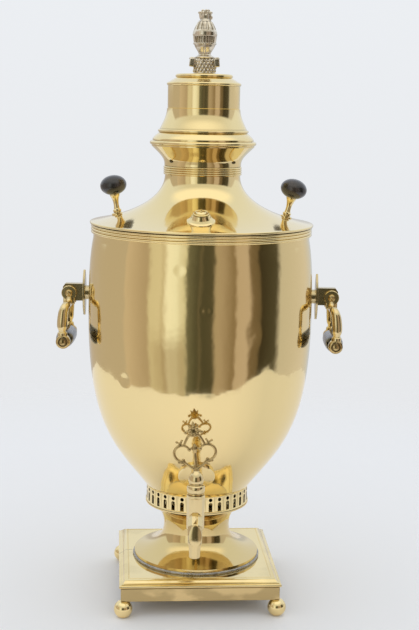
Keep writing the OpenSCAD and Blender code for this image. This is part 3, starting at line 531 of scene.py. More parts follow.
# %% [markdown]
# The lathe carries an outline round an axis. The place of a piece goes into its mesh, so that its object
# stays at the origin, where the patterns of its finish are measured from.


# %% Lathe
def lathe(name, outline, material, steps=128, closed=True, smooth=32, place=None):
    """Turns an outline of (radius, height) in millimetres about the body's axis, or about place."""
    made = start_mesh(name)
    points = [Vector((r * MM, 0, z * MM)) for r, z in outline]
    if closed and outline[0] != outline[-1] and (outline[0][0] > 0 or outline[-1][0] > 0):
        points.append(points[0])
    draw(points)
    bpy.ops.mesh.select_all(action="SELECT")
    bpy.ops.mesh.spin(steps=steps, angle=2 * pi, center=(0, 0, 0), axis=(0, 0, 1))
    end_mesh(made, material, smooth)
    return placed(made, place or ON_AXIS)


def settle(made):
    """Puts a piece's place into its mesh, with its object at the origin."""
    select_none()
    made.select_set(True)
    bpy.context.view_layer.objects.active = made
    bpy.ops.object.transform_apply(location=True, rotation=True, scale=True)


def placed(made, place):
    """Sets a part in its place, which goes into its mesh."""
    made.matrix_world = place
    settle(made)
    return made


# %% [markdown]
# A finished piece rides on a body of the model and stands for the solid that it replaces.


# %% Stand in for a solid
def stand_in(made, node, body="samovar_body"):
    """The piece rides on a body and stands for a solid."""
    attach(made, body)
    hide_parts(node)
    print(made.name, "faces:", len(made.data.polygons))


# %% [markdown]
# Modifiers finish a piece. A bevel rounds its sharp edges, after which the large faces set the normals,
# so that flats stay flat in the mirror, and a Boolean cuts or fuses.


# %% Modifiers
def apply_modifier(made, kind, **settings):
    """Adds a modifier and applies it. What is selected stays so."""
    modifier = made.modifiers.new("step", kind)
    for name, setting in settings.items():
        setattr(modifier, name, setting)
    bpy.context.view_layer.objects.active = made
    bpy.ops.object.modifier_apply(modifier="step")


def soften_edges(made, width, angle=35, segments=2):
    """Rounds the edges that are sharper than an angle, by a width in millimetres."""
    apply_modifier(
        made, "BEVEL", width=width * MM, segments=segments, limit_method="ANGLE", angle_limit=radians(angle)
    )
    bpy.ops.object.shade_smooth_by_angle(angle=radians(30))
    apply_modifier(made, "WEIGHTED_NORMAL", keep_sharp=True, weight=100)


def carve(made, tool, operation="DIFFERENCE"):
    """Cuts a piece with another, or fuses them, and removes the tool."""
    select_none()
    apply_modifier(made, "BOOLEAN", object=tool, operation=operation, solver="EXACT")
    bpy.data.objects.remove(tool)


# %% [markdown]
# ## Pieces kept from the solids
# A solid whose shape is right only needs clean shading. Its mesh is loose triangles, so a copy is
# merged, shaded by angle and painted.


# %% Copy a solid
def polished_copy(node, body, material, smooth=30, soften=0.0):
    """A merged and shaded copy of a solid, with its edges softened where asked, in millimetres."""
    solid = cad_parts[node]
    select_none()
    made = solid.copy()
    made.data = solid.data.copy()
    made.name = node + "_skin"
    made.parent = None
    made.matrix_world = solid.matrix_world.copy()
    bpy.context.collection.objects.link(made)
    made.select_set(True)
    bpy.context.view_layer.objects.active = made
    edit_all()
    bpy.ops.mesh.remove_doubles(threshold=2e-6)
    bpy.ops.mesh.dissolve_limited(angle_limit=radians(1))
    bpy.ops.object.mode_set(mode="OBJECT")
    if soften:
        soften_edges(made, soften)
    else:
        bpy.ops.object.shade_smooth_by_angle(angle=radians(smooth))
    paint(made, material)
    stand_in(made, node, body)


# %% [markdown]
# ## The body
# The body was raised from sheet brass and turned true: a narrow foot, a swelling belly and a mouth
# drawn in a little. It is the largest mirror here, so it gets the finest steps.

# %% Body
GALLERY_R, BODY_R, MOUTH_R, WALL = 48.4, 104.5, 100.1, 1.4
BODY_Z, BELLY_Z, MOUTH_Z = 105.6, 272.0, 354.2
body_outline = (
    [(30.5, 98.2), (34.5, 98.4), (42.4, 101.6)]
    + bend((GALLERY_R, BODY_Z), (79.6, 146.4), (BODY_R, 163.1), (BODY_R, BELLY_Z), 44)
    + bend((BODY_R, BELLY_Z), (BODY_R, 303.4), (103.4, 325.5), (MOUTH_R, 342), 20)[1:]
    + [(MOUTH_R, MOUTH_Z)]
)
body = lathe("brass_body", sheet_of(body_outline, WALL), BEATEN_BRASS, 224)
stand_in(body, "body_shell")

# %% [markdown]
# A band of three reeds stiffens the mouth and hides the seam under the lid.

# %% Rim band
rim = lathe("reeded_rim", reeds(MOUTH_R, 346, 8.2, 2.2, 3) + [(99.4, 354.2), (99.4, 346)], BRASS_TURNED, 224)
stand_in(rim, "rim_band")

# %% [markdown]
# ## The lid
# The lid rises in a hollow curve to its neck, where four reeds catch the light. A rim under its edge
# keeps it in the mouth.

# %% Lid
LID_Z, LID_R, NECK_Z, NECK_R = 354.5, 103.4, 408.0, 34.7
lid_curve = bend((102.3, 356.7), (57.5, 364.6), (NECK_R, 381.2), (NECK_R, 400), 40) + [(NECK_R, NECK_Z)]
lid_outline = (
    [(98.2, 347.5), (98.2, LID_Z), (102.9, LID_Z)]
    + round_arc((LID_R - 1.1, LID_Z + 1.1), 1.1, -60, 80, 6)
    + sheet_of(lid_curve, 1.4)
    + [(96.8, 354.6), (96.8, 347.5)]
)
lid = lathe("brass_lid", lid_outline, BRASS, 224)
stand_in(lid, "lid", "lid")

neck_outline = reeds(NECK_R, NECK_Z - 7.8, 7.8, 1.4, 4) + [(34, NECK_Z), (34, 400.2)]
neck = lathe("reeded_neck", neck_outline, BRASS_TURNED, 160)
stand_in(neck, "neck_ring", "lid")

# %% [markdown]
# ## Crown and cap
# The crown carries the teapot when the cap is off. Its wall is a trumpet with a round lip.

# %% Crown
CROWN_R, CROWN_Z = 48.9, 427.0
trumpet = bend((35.3, 409.9), (35.5, 415.5), (39.5, 418.5), (47.2, 426), 24)
crown_outline = (
    [(32.8, 392), (32.8, 408.3), (35.3, 408.3)]
    + sheet_of(trumpet + [(47.2, CROWN_Z)], 1.3)
    + [(31.5, 409.9), (31.5, 392)]
)
crown = lathe("brass_crown", crown_outline, BRASS, 160)
stand_in(crown, "crown", "crown")

lip_outline = [(44.9, CROWN_Z)] + round_arc((CROWN_R - 2, CROWN_Z + 2), 2, -90, 90, 12)
lip_outline += [(44.9, CROWN_Z + 4)]
lip = lathe("crown_lip_bead", lip_outline, BRASS_TURNED, 160)
stand_in(lip, "crown_lip", "crown")

# %% [markdown]
# The cap steps up through a skirt with a ring, a drum and a disc to the finial. Each is thin, so its
# outline goes up the outside and comes down the inside.

# %% Cap
SKIRT_Z, RING_R, DRUM_R, DRUM_Z = 431.3, 41.6, 33.0, 460.0
skirt_low = [(46.3, SKIRT_Z)] + bend((46.3, SKIRT_Z + 1.2), (45.3, 434.7), (42.2, 436.9), (40.4, 438.5), 12)
skirt_up = bend((40, 441.3), (37, 447.7), (34, 452.3), (33.5, DRUM_Z), 16)
skirt_ring = round_arc((RING_R - 1.4, SKIRT_Z + 8.6), 1.4, -80, 80, 10)
skirt_outline = (
    [(43.1, 427.3), (44.4, 427.3), (44.4, SKIRT_Z)]
    + skirt_low
    + skirt_ring
    + skirt_up
    + [(32.2, DRUM_Z), (32.4, 452.3), (35.6, 447), (38.6, 441), (39.2, 438), (43.1, 433)]
)
skirt = lathe("cap_skirt_turned", skirt_outline, BRASS_TURNED, 160)
stand_in(skirt, "cap_skirt", "cap")

drum_outline = (
    [(DRUM_R - 0.3, DRUM_Z), (DRUM_R, DRUM_Z + 0.4), (DRUM_R, 479.8)]
    + round_arc((DRUM_R - 0.6, 482.0), 1.6, -70, 70, 10)
    + [(31.9, 484), (26.8, 487), (26.2, 487.4), (2, 487.4), (2, 486.1), (26.2, 486.1), (31.7, 482.6)]
    + [(31.7, DRUM_Z)]
)
drum = lathe("cap_drum_turned", drum_outline, BRASS_TURNED, 160)
stand_in(drum, "cap_drum", "cap")

disc_outline = [(2, 487.4)] + round_arc((26.2 - 1.8, 489.2), 1.8, -90, 90, 14) + [(14, 491.2), (2, 491.2)]
disc = lathe("cap_disc_turned", disc_outline, BRASS_TURNED, 160)
stand_in(disc, "cap_disc", "cap")

# %% [markdown]
# ## Pedestal
# The pedestal is a trumpet foot, drawn in to a waist and flared again under the gallery.

# %% Pedestal
PLINTH_TOP, GALLERY_Z, FOOT_R, WAIST_R = 34.7, 90.0, 59.5, 31.4
pedestal_curve = (
    bend((FOOT_R, 39.5), (42, 43.5), (WAIST_R, 51), (WAIST_R, 64.7), 30)
    + bend((WAIST_R, 64.7), (WAIST_R, 76), (36.5, 83.5), (48.2, 88.3), 24)[1:]
)
pedestal_outline = (
    [(57.6, PLINTH_TOP), (FOOT_R, PLINTH_TOP)]
    + sheet_of(pedestal_curve + [(49.2, 88.7), (49.2, GALLERY_Z)], 1.5)
    + [(57.6, 39)]
)
pedestal = lathe("brass_pedestal", pedestal_outline, DEEP_BRASS, 192)
stand_in(pedestal, "pedestal")

# %% [markdown]
# The smith ran a line of solder round the foot where it meets the plinth, and it stayed lumpy. A cloud
# texture pushes its skin in and out.

# %% Solder band
band_outline = [(59.3, PLINTH_TOP), (60.7, PLINTH_TOP), (61.0, 35.4), (60.9, 36.2), (60.3, 36.9)]
band_outline += [(59.6, 37.1), (59.3, 36.9)]
solder = lathe("solder_band", band_outline, SOLDER, 256, smooth=80)
lumps = bpy.data.textures.new("solder_lumps", "CLOUDS")
lumps.noise_scale = 6 * MM
lumps.noise_depth = 1
select_none()
apply_modifier(solder, "DISPLACE", texture=lumps, strength=0.6 * MM, mid_level=0.5)
stand_in(solder, "foot_ring")

# %% [markdown]
# ## Bars that bend
# Castings are made of bars that swell, taper and curl. A bar is a path of points, each with its own
# radius: the path is extruded point by point, turned into a curve, given its thickness and turned back
# into a mesh.


# %% Bars and lumps
def bar(path, radii, section=12):
    """A round bar along points in millimetres. The radii are spread evenly along it."""
    made = start_mesh("bar")
    points = [Vector(point) * MM for point in path]
    draw(points)
    bpy.ops.object.mode_set(mode="OBJECT")
    bpy.ops.object.convert(target="CURVE")
    spline = made.data.splines[0]
    count = len(spline.points)
    from_start = (spline.points[0].co.xyz - points[0]).length < (spline.points[-1].co.xyz - points[0]).length
    for i, point in enumerate(spline.points):
        share = i / (count - 1) if from_start else 1 - i / (count - 1)
        place = share * (len(radii) - 1)
        left = min(int(place), len(radii) - 2)
        point.radius = radii[left] + (radii[left + 1] - radii[left]) * (place - left)
    made.data.bevel_depth = MM
    made.data.bevel_resolution = section // 4
    made.data.use_fill_caps = True
    bpy.ops.object.convert(target="MESH")
    return made


# %% [markdown]
# Lumps and blocks fill in what bars leave. The parts of a casting are joined, and where they should look
# poured in one, fused into an even skin.


# %% Lumps, blocks and joins
def lump(centre, size, turn=(0, 0, 0), section=20):
    """A rounded lump with half-sizes in millimetres."""
    select_none()
    bpy.ops.mesh.primitive_uv_sphere_add(
        segments=section,
        ring_count=section // 2,
        radius=MM,
        location=Vector(centre) * MM,
        rotation=turn,
        scale=size,
    )
    return bpy.context.object


def block(centre, size, turn=(0, 0, 0), round_by=0.5):
    """A block with full sizes in millimetres and rounded edges."""
    select_none()
    bpy.ops.mesh.primitive_cube_add(size=MM, location=Vector(centre) * MM, rotation=turn, scale=size)
    made = bpy.context.object
    bpy.ops.object.transform_apply(location=False, rotation=False, scale=True)
    apply_modifier(made, "BEVEL", width=round_by * MM, segments=3)
    return made


def together(name, made, material, place=None, weld=0.0, smooth=40):
    """Joins parts into one piece and sets it in place. A weld fuses them, at a grain in millimetres."""
    select_none()
    for part in made:
        part.select_set(True)
    bpy.context.view_layer.objects.active = made[0]
    bpy.ops.object.transform_apply(location=True, rotation=True, scale=True)
    if len(made) > 1:
        bpy.ops.object.join()
    piece = bpy.context.object
    piece.name = name
    if weld:
        apply_modifier(piece, "REMESH", mode="VOXEL", voxel_size=weld * MM)
        apply_modifier(piece, "SMOOTH", factor=0.5, iterations=2)
    bpy.ops.object.mode_set(mode="EDIT")
    end_mesh(piece, material, 180 if weld else smooth, 1e-7)
    return placed(piece, place) if place else piece


def turned_part(outline, steps=48):
    """A turned part about its own upright axis, left at the origin for joining."""
    return lathe("turned_part", outline, BRASS, steps, place=Matrix())


# %% [markdown]
# ## Plinth
# The plinth is a square box of sheet with a moulding mitred over it: a bead, a quirk, an ogee and a fine
# groove round the flat top. It was soldered on a little askew. A lathe with four steps makes a square,
# and each outline is measured out from the middle of a side.

# %% Plinth
HALF, BOX_Z, BOX_TOP, PLINTH_TURN, FLUE_R = 73.0, 15.2, 27.7, 4.5, 27.4
askew = ON_AXIS @ Matrix.Rotation(radians(45 + PLINTH_TURN), 4, "Z")


def square(name, outline, material):
    return lathe(name, [(r * sqrt(2), z) for r, z in outline], material, 4, place=askew)


box_outline = [(HALF, BOX_Z), (HALF, BOX_TOP), (HALF - 1.5, BOX_TOP), (HALF - 1.5, BOX_Z + 1.5)]
box_outline += [(HALF - 13, BOX_Z + 1.5), (HALF - 13, BOX_Z)]
box = square("plinth_sides", box_outline, SHADED_SIDE_BRASS)
soften_edges(box, 0.45, 50)
stand_in(box, "plinth_box")

moulding = (
    [(71.5, BOX_TOP), (HALF, BOX_TOP), (73.5, 28.0)]
    + round_arc((73.2, 29.5), 1.35, -60, 95, 8)
    + [(72.6, 31.0), (72.5, 31.4)]
    + bend((72.4, 31.6), (69.8, 31.5), (70.6, 34.4), (66.6, 34.62), 14)
    + [(66.0, 34.6), (65.8, 34.1), (65.3, 34.1), (65.1, 34.65), (64.8, PLINTH_TOP), (0, PLINTH_TOP)]
    + [(0, 33.2), (64.8, 33.2), (71.5, 28.4)]
)
top = square("plinth_moulding", moulding, PLINTH_BRASS)
select_none()
bpy.ops.mesh.primitive_cylinder_add(
    vertices=96, radius=FLUE_R * MM, depth=20 * MM, location=(0, AXIS_Y, 34 * MM)
)
carve(top, bpy.context.object)
soften_edges(top, 0.25, 60)
stand_in(top, "plinth_top")

# %% [markdown]
# ## Gallery
# A pierced ring hides the joint of body and pedestal and lets the draught in. It has a turned lip and
# foot, and a ring of arched slots with a round hole over each. A slot's tool is a short cylinder whose
# lower half is pulled down to the slot's foot.


# %% Gallery
def pick(made, wanted):
    """Edit mode, with only the vertices selected whose place is wanted."""
    bpy.ops.object.mode_set(mode="EDIT")
    bpy.ops.mesh.select_all(action="DESELECT")
    bpy.ops.object.mode_set(mode="OBJECT")
    for vertex in made.data.vertices:
        vertex.select = wanted(made.matrix_world @ vertex.co)
    bpy.ops.object.mode_set(mode="EDIT")


def drill(angle, height, radius):
    """A short cylinder across the gallery's wall."""
    select_none()
    bpy.ops.mesh.primitive_cylinder_add(
        vertices=20,
        radius=radius * MM,
        depth=6 * MM,
        location=Vector((48 * MM * cos(angle), AXIS_Y + 48 * MM * sin(angle), height * MM)),
        rotation=(pi / 2, 0, angle + pi / 2),
    )
    return bpy.context.object


SLOTS, SLOT_W, SLOT_FOOT, SLOT_TOP, HOLE_Z, HOLE_R = 34, 3.6, 91.6, 100.2, 102.8, 1.75
ARCH_Z = SLOT_TOP - SLOT_W / 2
gallery_outline = (
    [(47.2, 90), (48.4, 90), (48.9, 90.3), (49.0, 91.0), (48.5, 91.4), (48.4, 91.6), (48.4, 104.8)]
    + [(48.7, 105.0), (48.7, 105.5), (48.4, 105.7), (47.2, 105.4)]
)
gallery = lathe("pierced_gallery", gallery_outline, BRASS_TURNED, 6 * SLOTS)
cutters = []
for i in range(SLOTS):
    angle = radians(-90 + 360 * (i + 0.5) / SLOTS)
    cutters.append(drill(angle, HOLE_Z, HOLE_R))
    arch = drill(angle, ARCH_Z, SLOT_W / 2)
    pick(arch, lambda place: place.z < (ARCH_Z - 0.01) * MM)
    bpy.ops.transform.resize(value=(1, 1, 0), center_override=(0, 0, SLOT_FOOT * MM))
    bpy.ops.object.mode_set(mode="OBJECT")
    cutters.append(arch)
carve(gallery, together("slot_tool", cutters, IRON))
soften_edges(gallery, 0.12, 60, 1)
stand_in(gallery, "gallery")

# %% [markdown]
# ## The finial
# The finial is a small cast bust in a closed helm: fluted dome, brow band, barred visor and a tuft of
# plume. It is built from separate bars and lumps and then fused, as wax would be before casting.

# %% Helm
BUST_Z, COLLAR_Z, HELM_H, WELD = 491.0, 508.9, 29.0, 0.22
FLUTES, FLUTE_FOOT, FLUTE_HALF, FLUTE_DEPTH = 12, 19.8, 6.5, 0.86
VISOR_SLOTS, VISOR_R, VISOR_Z = 9, 11.6, 12.6


def raised(foot, outline):
    """An outline lifted to its foot."""
    return [(r, foot + z) for r, z in outline]


def in_flute(place, middle):
    off = (degrees(atan2(place.y, place.x)) - middle + 180) % 360 - 180
    return place.z > (COLLAR_Z + FLUTE_FOOT) * MM and abs(off) < FLUTE_HALF


helm_line = [(0, 0), (5.4, 0), (6.0, 1.6), (7.4, 3.8), (8.9, 6.2), (10.0, 9.2), (10.4, 12), (10.7, 14.4)]
helm_line += [(10.8, 17), (10.4, 19.6), (9.9, 21.6), (9.1, 23.8), (7.8, 26.4), (6.4, 28.6), (0, HELM_H)]
helm = turned_part(raised(COLLAR_Z, helm_line), 96)
select_none()
bpy.context.view_layer.objects.active = helm
edit_all()
bpy.ops.mesh.subdivide(number_cuts=1)
for flute in range(FLUTES):
    pick(helm, lambda place: in_flute(place, (flute + 0.5) * 360 / FLUTES))
    bpy.ops.transform.resize(value=(FLUTE_DEPTH, FLUTE_DEPTH, 1), center_override=(0, 0, 0))
bpy.ops.object.mode_set(mode="OBJECT")
cutters = []
for i in range(VISOR_SLOTS):
    angle = radians((i - VISOR_SLOTS // 2) * 12.5)
    place = (VISOR_R * sin(angle), -VISOR_R * cos(angle), COLLAR_Z + VISOR_Z)
    cutters.append(block(place, (1.55, 5.6, 6.2), (0, 0, angle), 0.2))
carve(helm, together("visor_slots", cutters, IRON))
brow_line = [(9.6, 16), (11.0, 16.2), (11.2, 17.4), (10.9, 19.6), (10.3, 21.2), (9.2, 21.4)]
brow = turned_part(raised(COLLAR_Z, brow_line), 64)
chin = turned_part(raised(COLLAR_Z, [(9.3, 8.2), (10.5, 8.6), (10.6, 9.6), (9.6, 10)]), 64)
ridge = bar([(0, -r - 0.1, COLLAR_Z + z) for r, z in helm_line[1:6]], (0.7, 0.9, 0.8))
helm_piece = together("helm", [helm, brow, chin, ridge], OLD_BRASS, ON_AXIS, WELD)
stand_in(helm_piece, "finial_helmet", "cap")

# %% [markdown]
# The plume is a tuft of curls round a small turned core: nine outer locks that end in a bud, and five
# inner ones.

# %% Plume
TUFT_Z = COLLAR_Z + HELM_H


def curl(angle, line, radii, depth=1.0):
    """A lock that leaves the middle at an angle, and where it ends."""
    out = Vector((cos(angle), depth * sin(angle), 0))
    path = [out * r + Vector((0, 0, TUFT_Z + z)) for r, z in line]
    return bar(path, radii), path[-1]


tuft_core = [(0, 0), (6.0, 0), (4.9, 1.2), (4.5, 2.4), (4.8, 5), (3.4, 8), (0, 8.6)]
tuft = [turned_part(raised(TUFT_Z, tuft_core), 32)]
outer = bend((3.8, 1.4), (4.8, 4.6), (4.0, 9.4), (5.6, 7.6), 8)
inner = bend((1.6, 5), (2.4, 8.6), (2.2, 10.6), (3.8, 9), 8)
for i in range(9):
    lock, tip = curl(radians(40 * i + 12), outer, (1.0, 1.4, 1.3, 0.8), 0.85)
    tuft += [lock, lump(tip, (1.15, 1.15, 1.1))]
for i in range(5):
    tuft.append(curl(radians(72 * i), inner, (1.6, 1.5, 0.8))[0])
tuft.append(lump((4.8, -0.6, TUFT_Z + 3.4), (2.0, 1.8, 2.4)))
tuft_piece = together("plume", tuft, OLD_BRASS, ON_AXIS, WELD)
stand_in(tuft_piece, "finial_plume", "cap")

# %% [markdown]
# The bust is a turned breast, flattened from front to back, with a collar, two shoulder plates with
# their straps, and rows of scales laid like tiles.

# %% Bust
SCALE_ROWS, SCALES = 4, 9
breast = [(0, 0), (9.7, 0), (10.2, 1), (9.4, 3), (10.2, 8), (10.4, 12), (8.8, 14.3), (0, 14.6)]
collar = raised(BUST_Z, [(0, 14), (8.2, 14), (9.0, 14.8), (8.6, 15.6), (6.5, 16.6)])
bust = [
    turned_part([(0, 482.1), (2, 482.1), (2, BUST_Z + 2), (0, BUST_Z + 2)], 32),
    turned_part(raised(BUST_Z, breast), 64),
    turned_part(collar + [(5.5, COLLAR_Z), (0, COLLAR_Z)], 64),
]
bust[1].scale = (1, 0.74, 1)
strap = [(8.6, -4.4, 14), (12.2, -3.6, 14.4), (13.2, 0, 14), (12.2, 3.6, 14.4), (8.6, 4.4, 14)]
for side in (-1, 1):
    bust.append(block((side * 11.2, 0, BUST_Z + 10.2), (5.0, 12, 7.4), (0, radians(-6 * side), 0), 0.8))
    bust.append(bar([(side * x, y, BUST_Z + z) for x, y, z in strap], (0.9, 0.9)))
for row in range(SCALE_ROWS):
    for i in range(SCALES):
        angle = radians((i - SCALES // 2 + 0.5 * (row % 2)) * 19)
        place = (10.1 * sin(angle), -7.5 * cos(angle), BUST_Z + 3.4 + row * 2.9)
        bust.append(lump(place, (1.15, 0.8, 1.8), (radians(-12), 0, angle), 10))
bust_piece = together("bust", bust, OLD_BRASS, ON_AXIS, WELD)
stand_in(bust_piece, "finial_bust", "cap")

# %% [markdown]
# ## The key
# The key is a thin openwork casting: a stem with a bud, two C-shaped loops with leaves, and two arms
# that meet in a rosette. One side is drawn in a plane and mirrored, and the whole leans a little.

# %% Key
KEY_Z, PLUG_Y, KEY_LEAN, STOUT = 151.5, -112.0, -5, 1.12
KEY_STROKES = [
    (bend((0.3, 0.6), (3, 2.4), (7, 5), (10.4, 9), 10), (1.5, 1.15, 1.0)),
    (round_arc((11, 15.8), 7, -97, 155, 26), (0.9, 1.25, 1.15, 0.85)),
    (bend((4.8, 18.8), (3.4, 19.8), (1.6, 20.8), (0, 20.2), 6), (0.8, 0.8)),
    (bend((12, 22.2), (12.8, 24.2), (13.2, 25.4), (15.4, 26.2), 8), (1.0, 1.0, 0.3)),
    (bend((12.2, 23), (11.6, 25), (11.4, 26.4), (10.4, 27.4), 8), (0.9, 0.9, 0.3)),
    (bend((9.4, 8.2), (11.6, 7), (13, 7.2), (14.8, 8.4), 8), (1.0, 0.9, 0.3)),
    (bend((8.4, 7.2), (9.6, 4.8), (11.4, 4.4), (12.6, 5), 8), (0.8, 0.8, 0.3)),
    (bend((9.5, 22.4), (7.6, 24.6), (7, 29.4), (2.6, 32.6), 12), (0.95, 1.05, 1.2)),
    (bend((2, 33.6), (4, 35.8), (6, 35.6), (7, 33.8), 8), (1.2, 1.0, 0.8)),
    (bend((1.2, 36), (3.4, 38), (3.2, 40), (4.6, 41), 8), (1.1, 0.9, 0.4)),
]
KEY_BUDS = [(4.7, 18.9, 1.75), (7.0, 34.0, 1.5), (10.4, 9.6, 1.5), (14.4, 7.9, 1.1), (15.2, 26.1, 1.1)]
KEY_BUDS += [(10.6, 27.2, 1.0)]
ROSE_Z, ROSE_R, PETALS = 35, 3.6, 7

key = []
for side in (-1, 1):
    for line, radii in KEY_STROKES:
        key.append(bar([(side * x, 0, z) for x, z in line], [r * STOUT for r in radii]))
    for x, z, size in KEY_BUDS:
        key.append(lump((side * x, 0, z), (size, 1.1, size)))
key.append(lump((0, 0, ROSE_Z), (5.0, 2.2, 5.0)))
for petal in range(PETALS):
    angle = 2 * pi * petal / PETALS
    key.append(lump((ROSE_R * sin(angle), -1.4, ROSE_Z + ROSE_R * cos(angle)), (1.6, 1.1, 1.6)))
key.append(bar([(0, 0, 37), (0.2, 0, 40), (0, 0, 43.8)], (1.4, 2.0, 0.4)))
key_stem = [(0, 0), (2.2, 0), (2.6, 1.2), (1.6, 3), (1.3, 16), (1.6, 16.8), (2.4, 19), (2.2, 21)]
key.append(turned_part(key_stem + [(1, 23.6), (0, 24.4)], 32))
key_place = Matrix.Translation((0, AXIS_Y + PLUG_Y * MM, KEY_Z * MM))
key_place = key_place @ Matrix.Rotation(radians(KEY_LEAN), 4, "Y")
key_piece = together("key", key, BROWN_BRASS, key_place, weld=0.26)
stand_in(key_piece, "tap_key", "key")

# %% [markdown]
# ## The tap
# The tap is a plug cock: an eight-sided barrel with a tapering plug in it, on an inlet that dips from the
# body. The parts are fused first and bored afterwards, as a founder's casting is.

# %% Tap
WATER_Z, BARREL_FOOT, BARREL_TOP, WATER_R = 107.0, 97.49, 129.99, 3.0
at_plug = Matrix.Translation((0, AXIS_Y + PLUG_Y * MM, 0))
INLET_Y, INLET_Z, INLET_DIP = -71.29, 134.8, 33.36
dipping = Matrix.Rotation(pi / 2 + radians(INLET_DIP), 4, "X")
at_inlet = Matrix.Translation((0, AXIS_Y + INLET_Y * MM, INLET_Z * MM)) @ dipping
lying = Matrix.Translation((0, 0, WATER_Z * MM)) @ Matrix.Rotation(pi / 2, 4, "X")
print("water way at", WATER_Z, "mm, barrel", BARREL_FOOT, "to", BARREL_TOP, "mm")


# %% [markdown]
# An eight-sided bar starts as a ring of eight points, which is extruded, turned and narrowed from station
# to station. A rod is turned, and serves as a drill.


# %% Bars and drills for the tap
def eight_sided(stations, turned=22.5):
    """An eight-sided bar through stations of (y, z, width across flats, lean in degrees)."""
    select_none()
    y, z, width, lean = stations[0]
    bpy.ops.mesh.primitive_circle_add(
        vertices=8, radius=width / 2 / cos(pi / 8) * MM, fill_type="NGON", rotation=(0, 0, radians(turned))
    )
    made = bpy.context.object
    bpy.ops.object.transform_apply(location=False, rotation=True, scale=False)
    edit_all()
    bpy.ops.transform.rotate(value=radians(lean), orient_axis="X", center_override=(0, 0, 0))
    bpy.ops.transform.translate(value=(0, y * MM, z * MM))
    for (y0, z0, w0, l0), (y1, z1, w1, l1) in zip(stations, stations[1:]):
        step = (0, (y1 - y0) * MM, (z1 - z0) * MM)
        bpy.ops.mesh.extrude_region_move(TRANSFORM_OT_translate={"value": step})
        here = (0, y1 * MM, z1 * MM)
        bpy.ops.transform.rotate(value=radians(l1 - l0), orient_axis="X", center_override=here)
        bpy.ops.transform.resize(value=(w1 / w0,) * 3, center_override=here)
    bpy.ops.mesh.select_all(action="SELECT")
    bpy.ops.mesh.normals_make_consistent(inside=False)
    bpy.ops.object.mode_set(mode="OBJECT")
    return made


def rod(radius, start, end, steps=40, radius_end=None):
    """A round rod, or a cone, along z."""
    return turned_part([(0, start), (radius, start), (radius_end or radius, end), (0, end)], steps)


def named(made, name, material, place):
    """A carved part with its name, its paint and its place."""
    paint(made, material)
    made.name = name
    return placed(made, place)


# %% [markdown]
# The barrel stands upright between a collar and a foot. The inlet is fused to it, and then the water way
# and the tapered bore are cut.

# %% Barrel
barrel_line = [(0, BARREL_FOOT, 13.4, 0), (0, BARREL_FOOT + 1.4, 14.2, 0), (0, BARREL_TOP - 2.4, 14.6, 0)]
barrel = eight_sided(barrel_line, 0)
ring_line = [(0, 127.2), (7.4, 127.2), (8.1, 127.9), (8.1, 128.9), (7.7, 129.4)]
carve(barrel, turned_part(ring_line + [(7.5, BARREL_TOP), (0, BARREL_TOP)]), "UNION")
soften_edges(barrel, 0.35)
placed(barrel, at_plug)
carve(barrel, placed(rod(5.5, -8.4, 48.7), at_inlet), "UNION")
carve(barrel, placed(rod(WATER_R, -9.4, 48.7), at_inlet))
carve(barrel, placed(rod(4.03, BARREL_FOOT - 1, BARREL_TOP + 1, 48, 5.09), at_plug))
carve(barrel, placed(rod(WATER_R, 0, 14), at_plug @ lying))
paint(barrel, CAST_BRASS)
barrel.name = "tap_barrel"
stand_in(barrel, "tap_body")

# %% [markdown]
# The spout is eight-sided too. It bends down in four stations and steps in to its nose, and a pointed
# oval is filed flat on its front.

# %% Spout
SPOUT_Y, NOSE_R = -18.9, 2.5
spout = eight_sided([
    (-6.6, 109.0, 13.0, 84), (-10.6, 108.2, 12.8, 72), (-15.6, 104.6, 12.6, 45), (-18.4, 99.2, 12.5, 12),
    (SPOUT_Y, 92.6, 12.2, 0), (SPOUT_Y, 90.4, 10.6, 0), (SPOUT_Y, 88.6, 9.9, 0), (SPOUT_Y, 81.2, 9.4, 0),
    (SPOUT_Y, 79.6, 8.4, 0),
])
soften_edges(spout, 0.3, 12)
select_none()
bpy.ops.mesh.primitive_cylinder_add(
    vertices=48,
    radius=MM,
    depth=3 * MM,
    location=(0.5 * MM, -24.2 * MM, 100.4 * MM),
    rotation=(radians(83), 0, 0),
    scale=(5.5, 9.4, 1),
)
lens = bpy.context.object
bpy.ops.object.transform_apply(location=True, rotation=True, scale=True)
soften_edges(lens, 0.35)
carve(spout, lens, "UNION")
carve(spout, placed(rod(WATER_R, 0, -SPOUT_Y), lying))
carve(spout, placed(rod(NOSE_R, 78, 107), Matrix.Translation((0, SPOUT_Y * MM, 0))))
named(spout, "tap_nose", CAST_BRASS, at_plug)
stand_in(spout, "tap_spout")

# %% [markdown]
# The plug is turned in one with its collar and its round head, and bored across for the water.

# %% Plug
plug_head = raised(BARREL_TOP + 0.3, (
    [(5.0, -0.02), (7.1, 0), (7.6, 0.7), (7.5, 1.2), (6.9, 1.5), (6.9, 2.1), (7.6, 2.4), (7.9, 3.2)]
    + [(7.9, 6.6), (7.6, 7.8), (7.0, 8.4), (6.0, 8.9), (5.7, 9.5)]
    + bend((5.9, 9.8), (7.4, 11.6), (6.9, 16.2), (3.9, 19.6), 14)
    + [(2.9, 20.4), (2.5, 21.2), (0, 21.2)]
))
plug = turned_part([(0, 91.7), (2.5, 91.7), (2.5, 97.19), (3.99, 97.19)] + plug_head, 64)
across = Matrix.Translation((0, 0, (WATER_Z + 0.5) * MM)) @ Matrix.Rotation(pi / 2, 4, "Y")
carve(plug, placed(rod(WATER_R, -8, 8), across))
named(plug, "tap_plug_turned", CAST_BRASS, at_plug)
stand_in(plug, "tap_plug", "key")

# %% [markdown]
# ## The handles
# Each handle hangs from a bracket. Two cast arms leave the pivot, turn down through an elbow, swell
# twice and end in a ferrule, and a rod with two caps holds the grip of black wood. A handle is drawn at
# its pivot, reaching outwards along x.

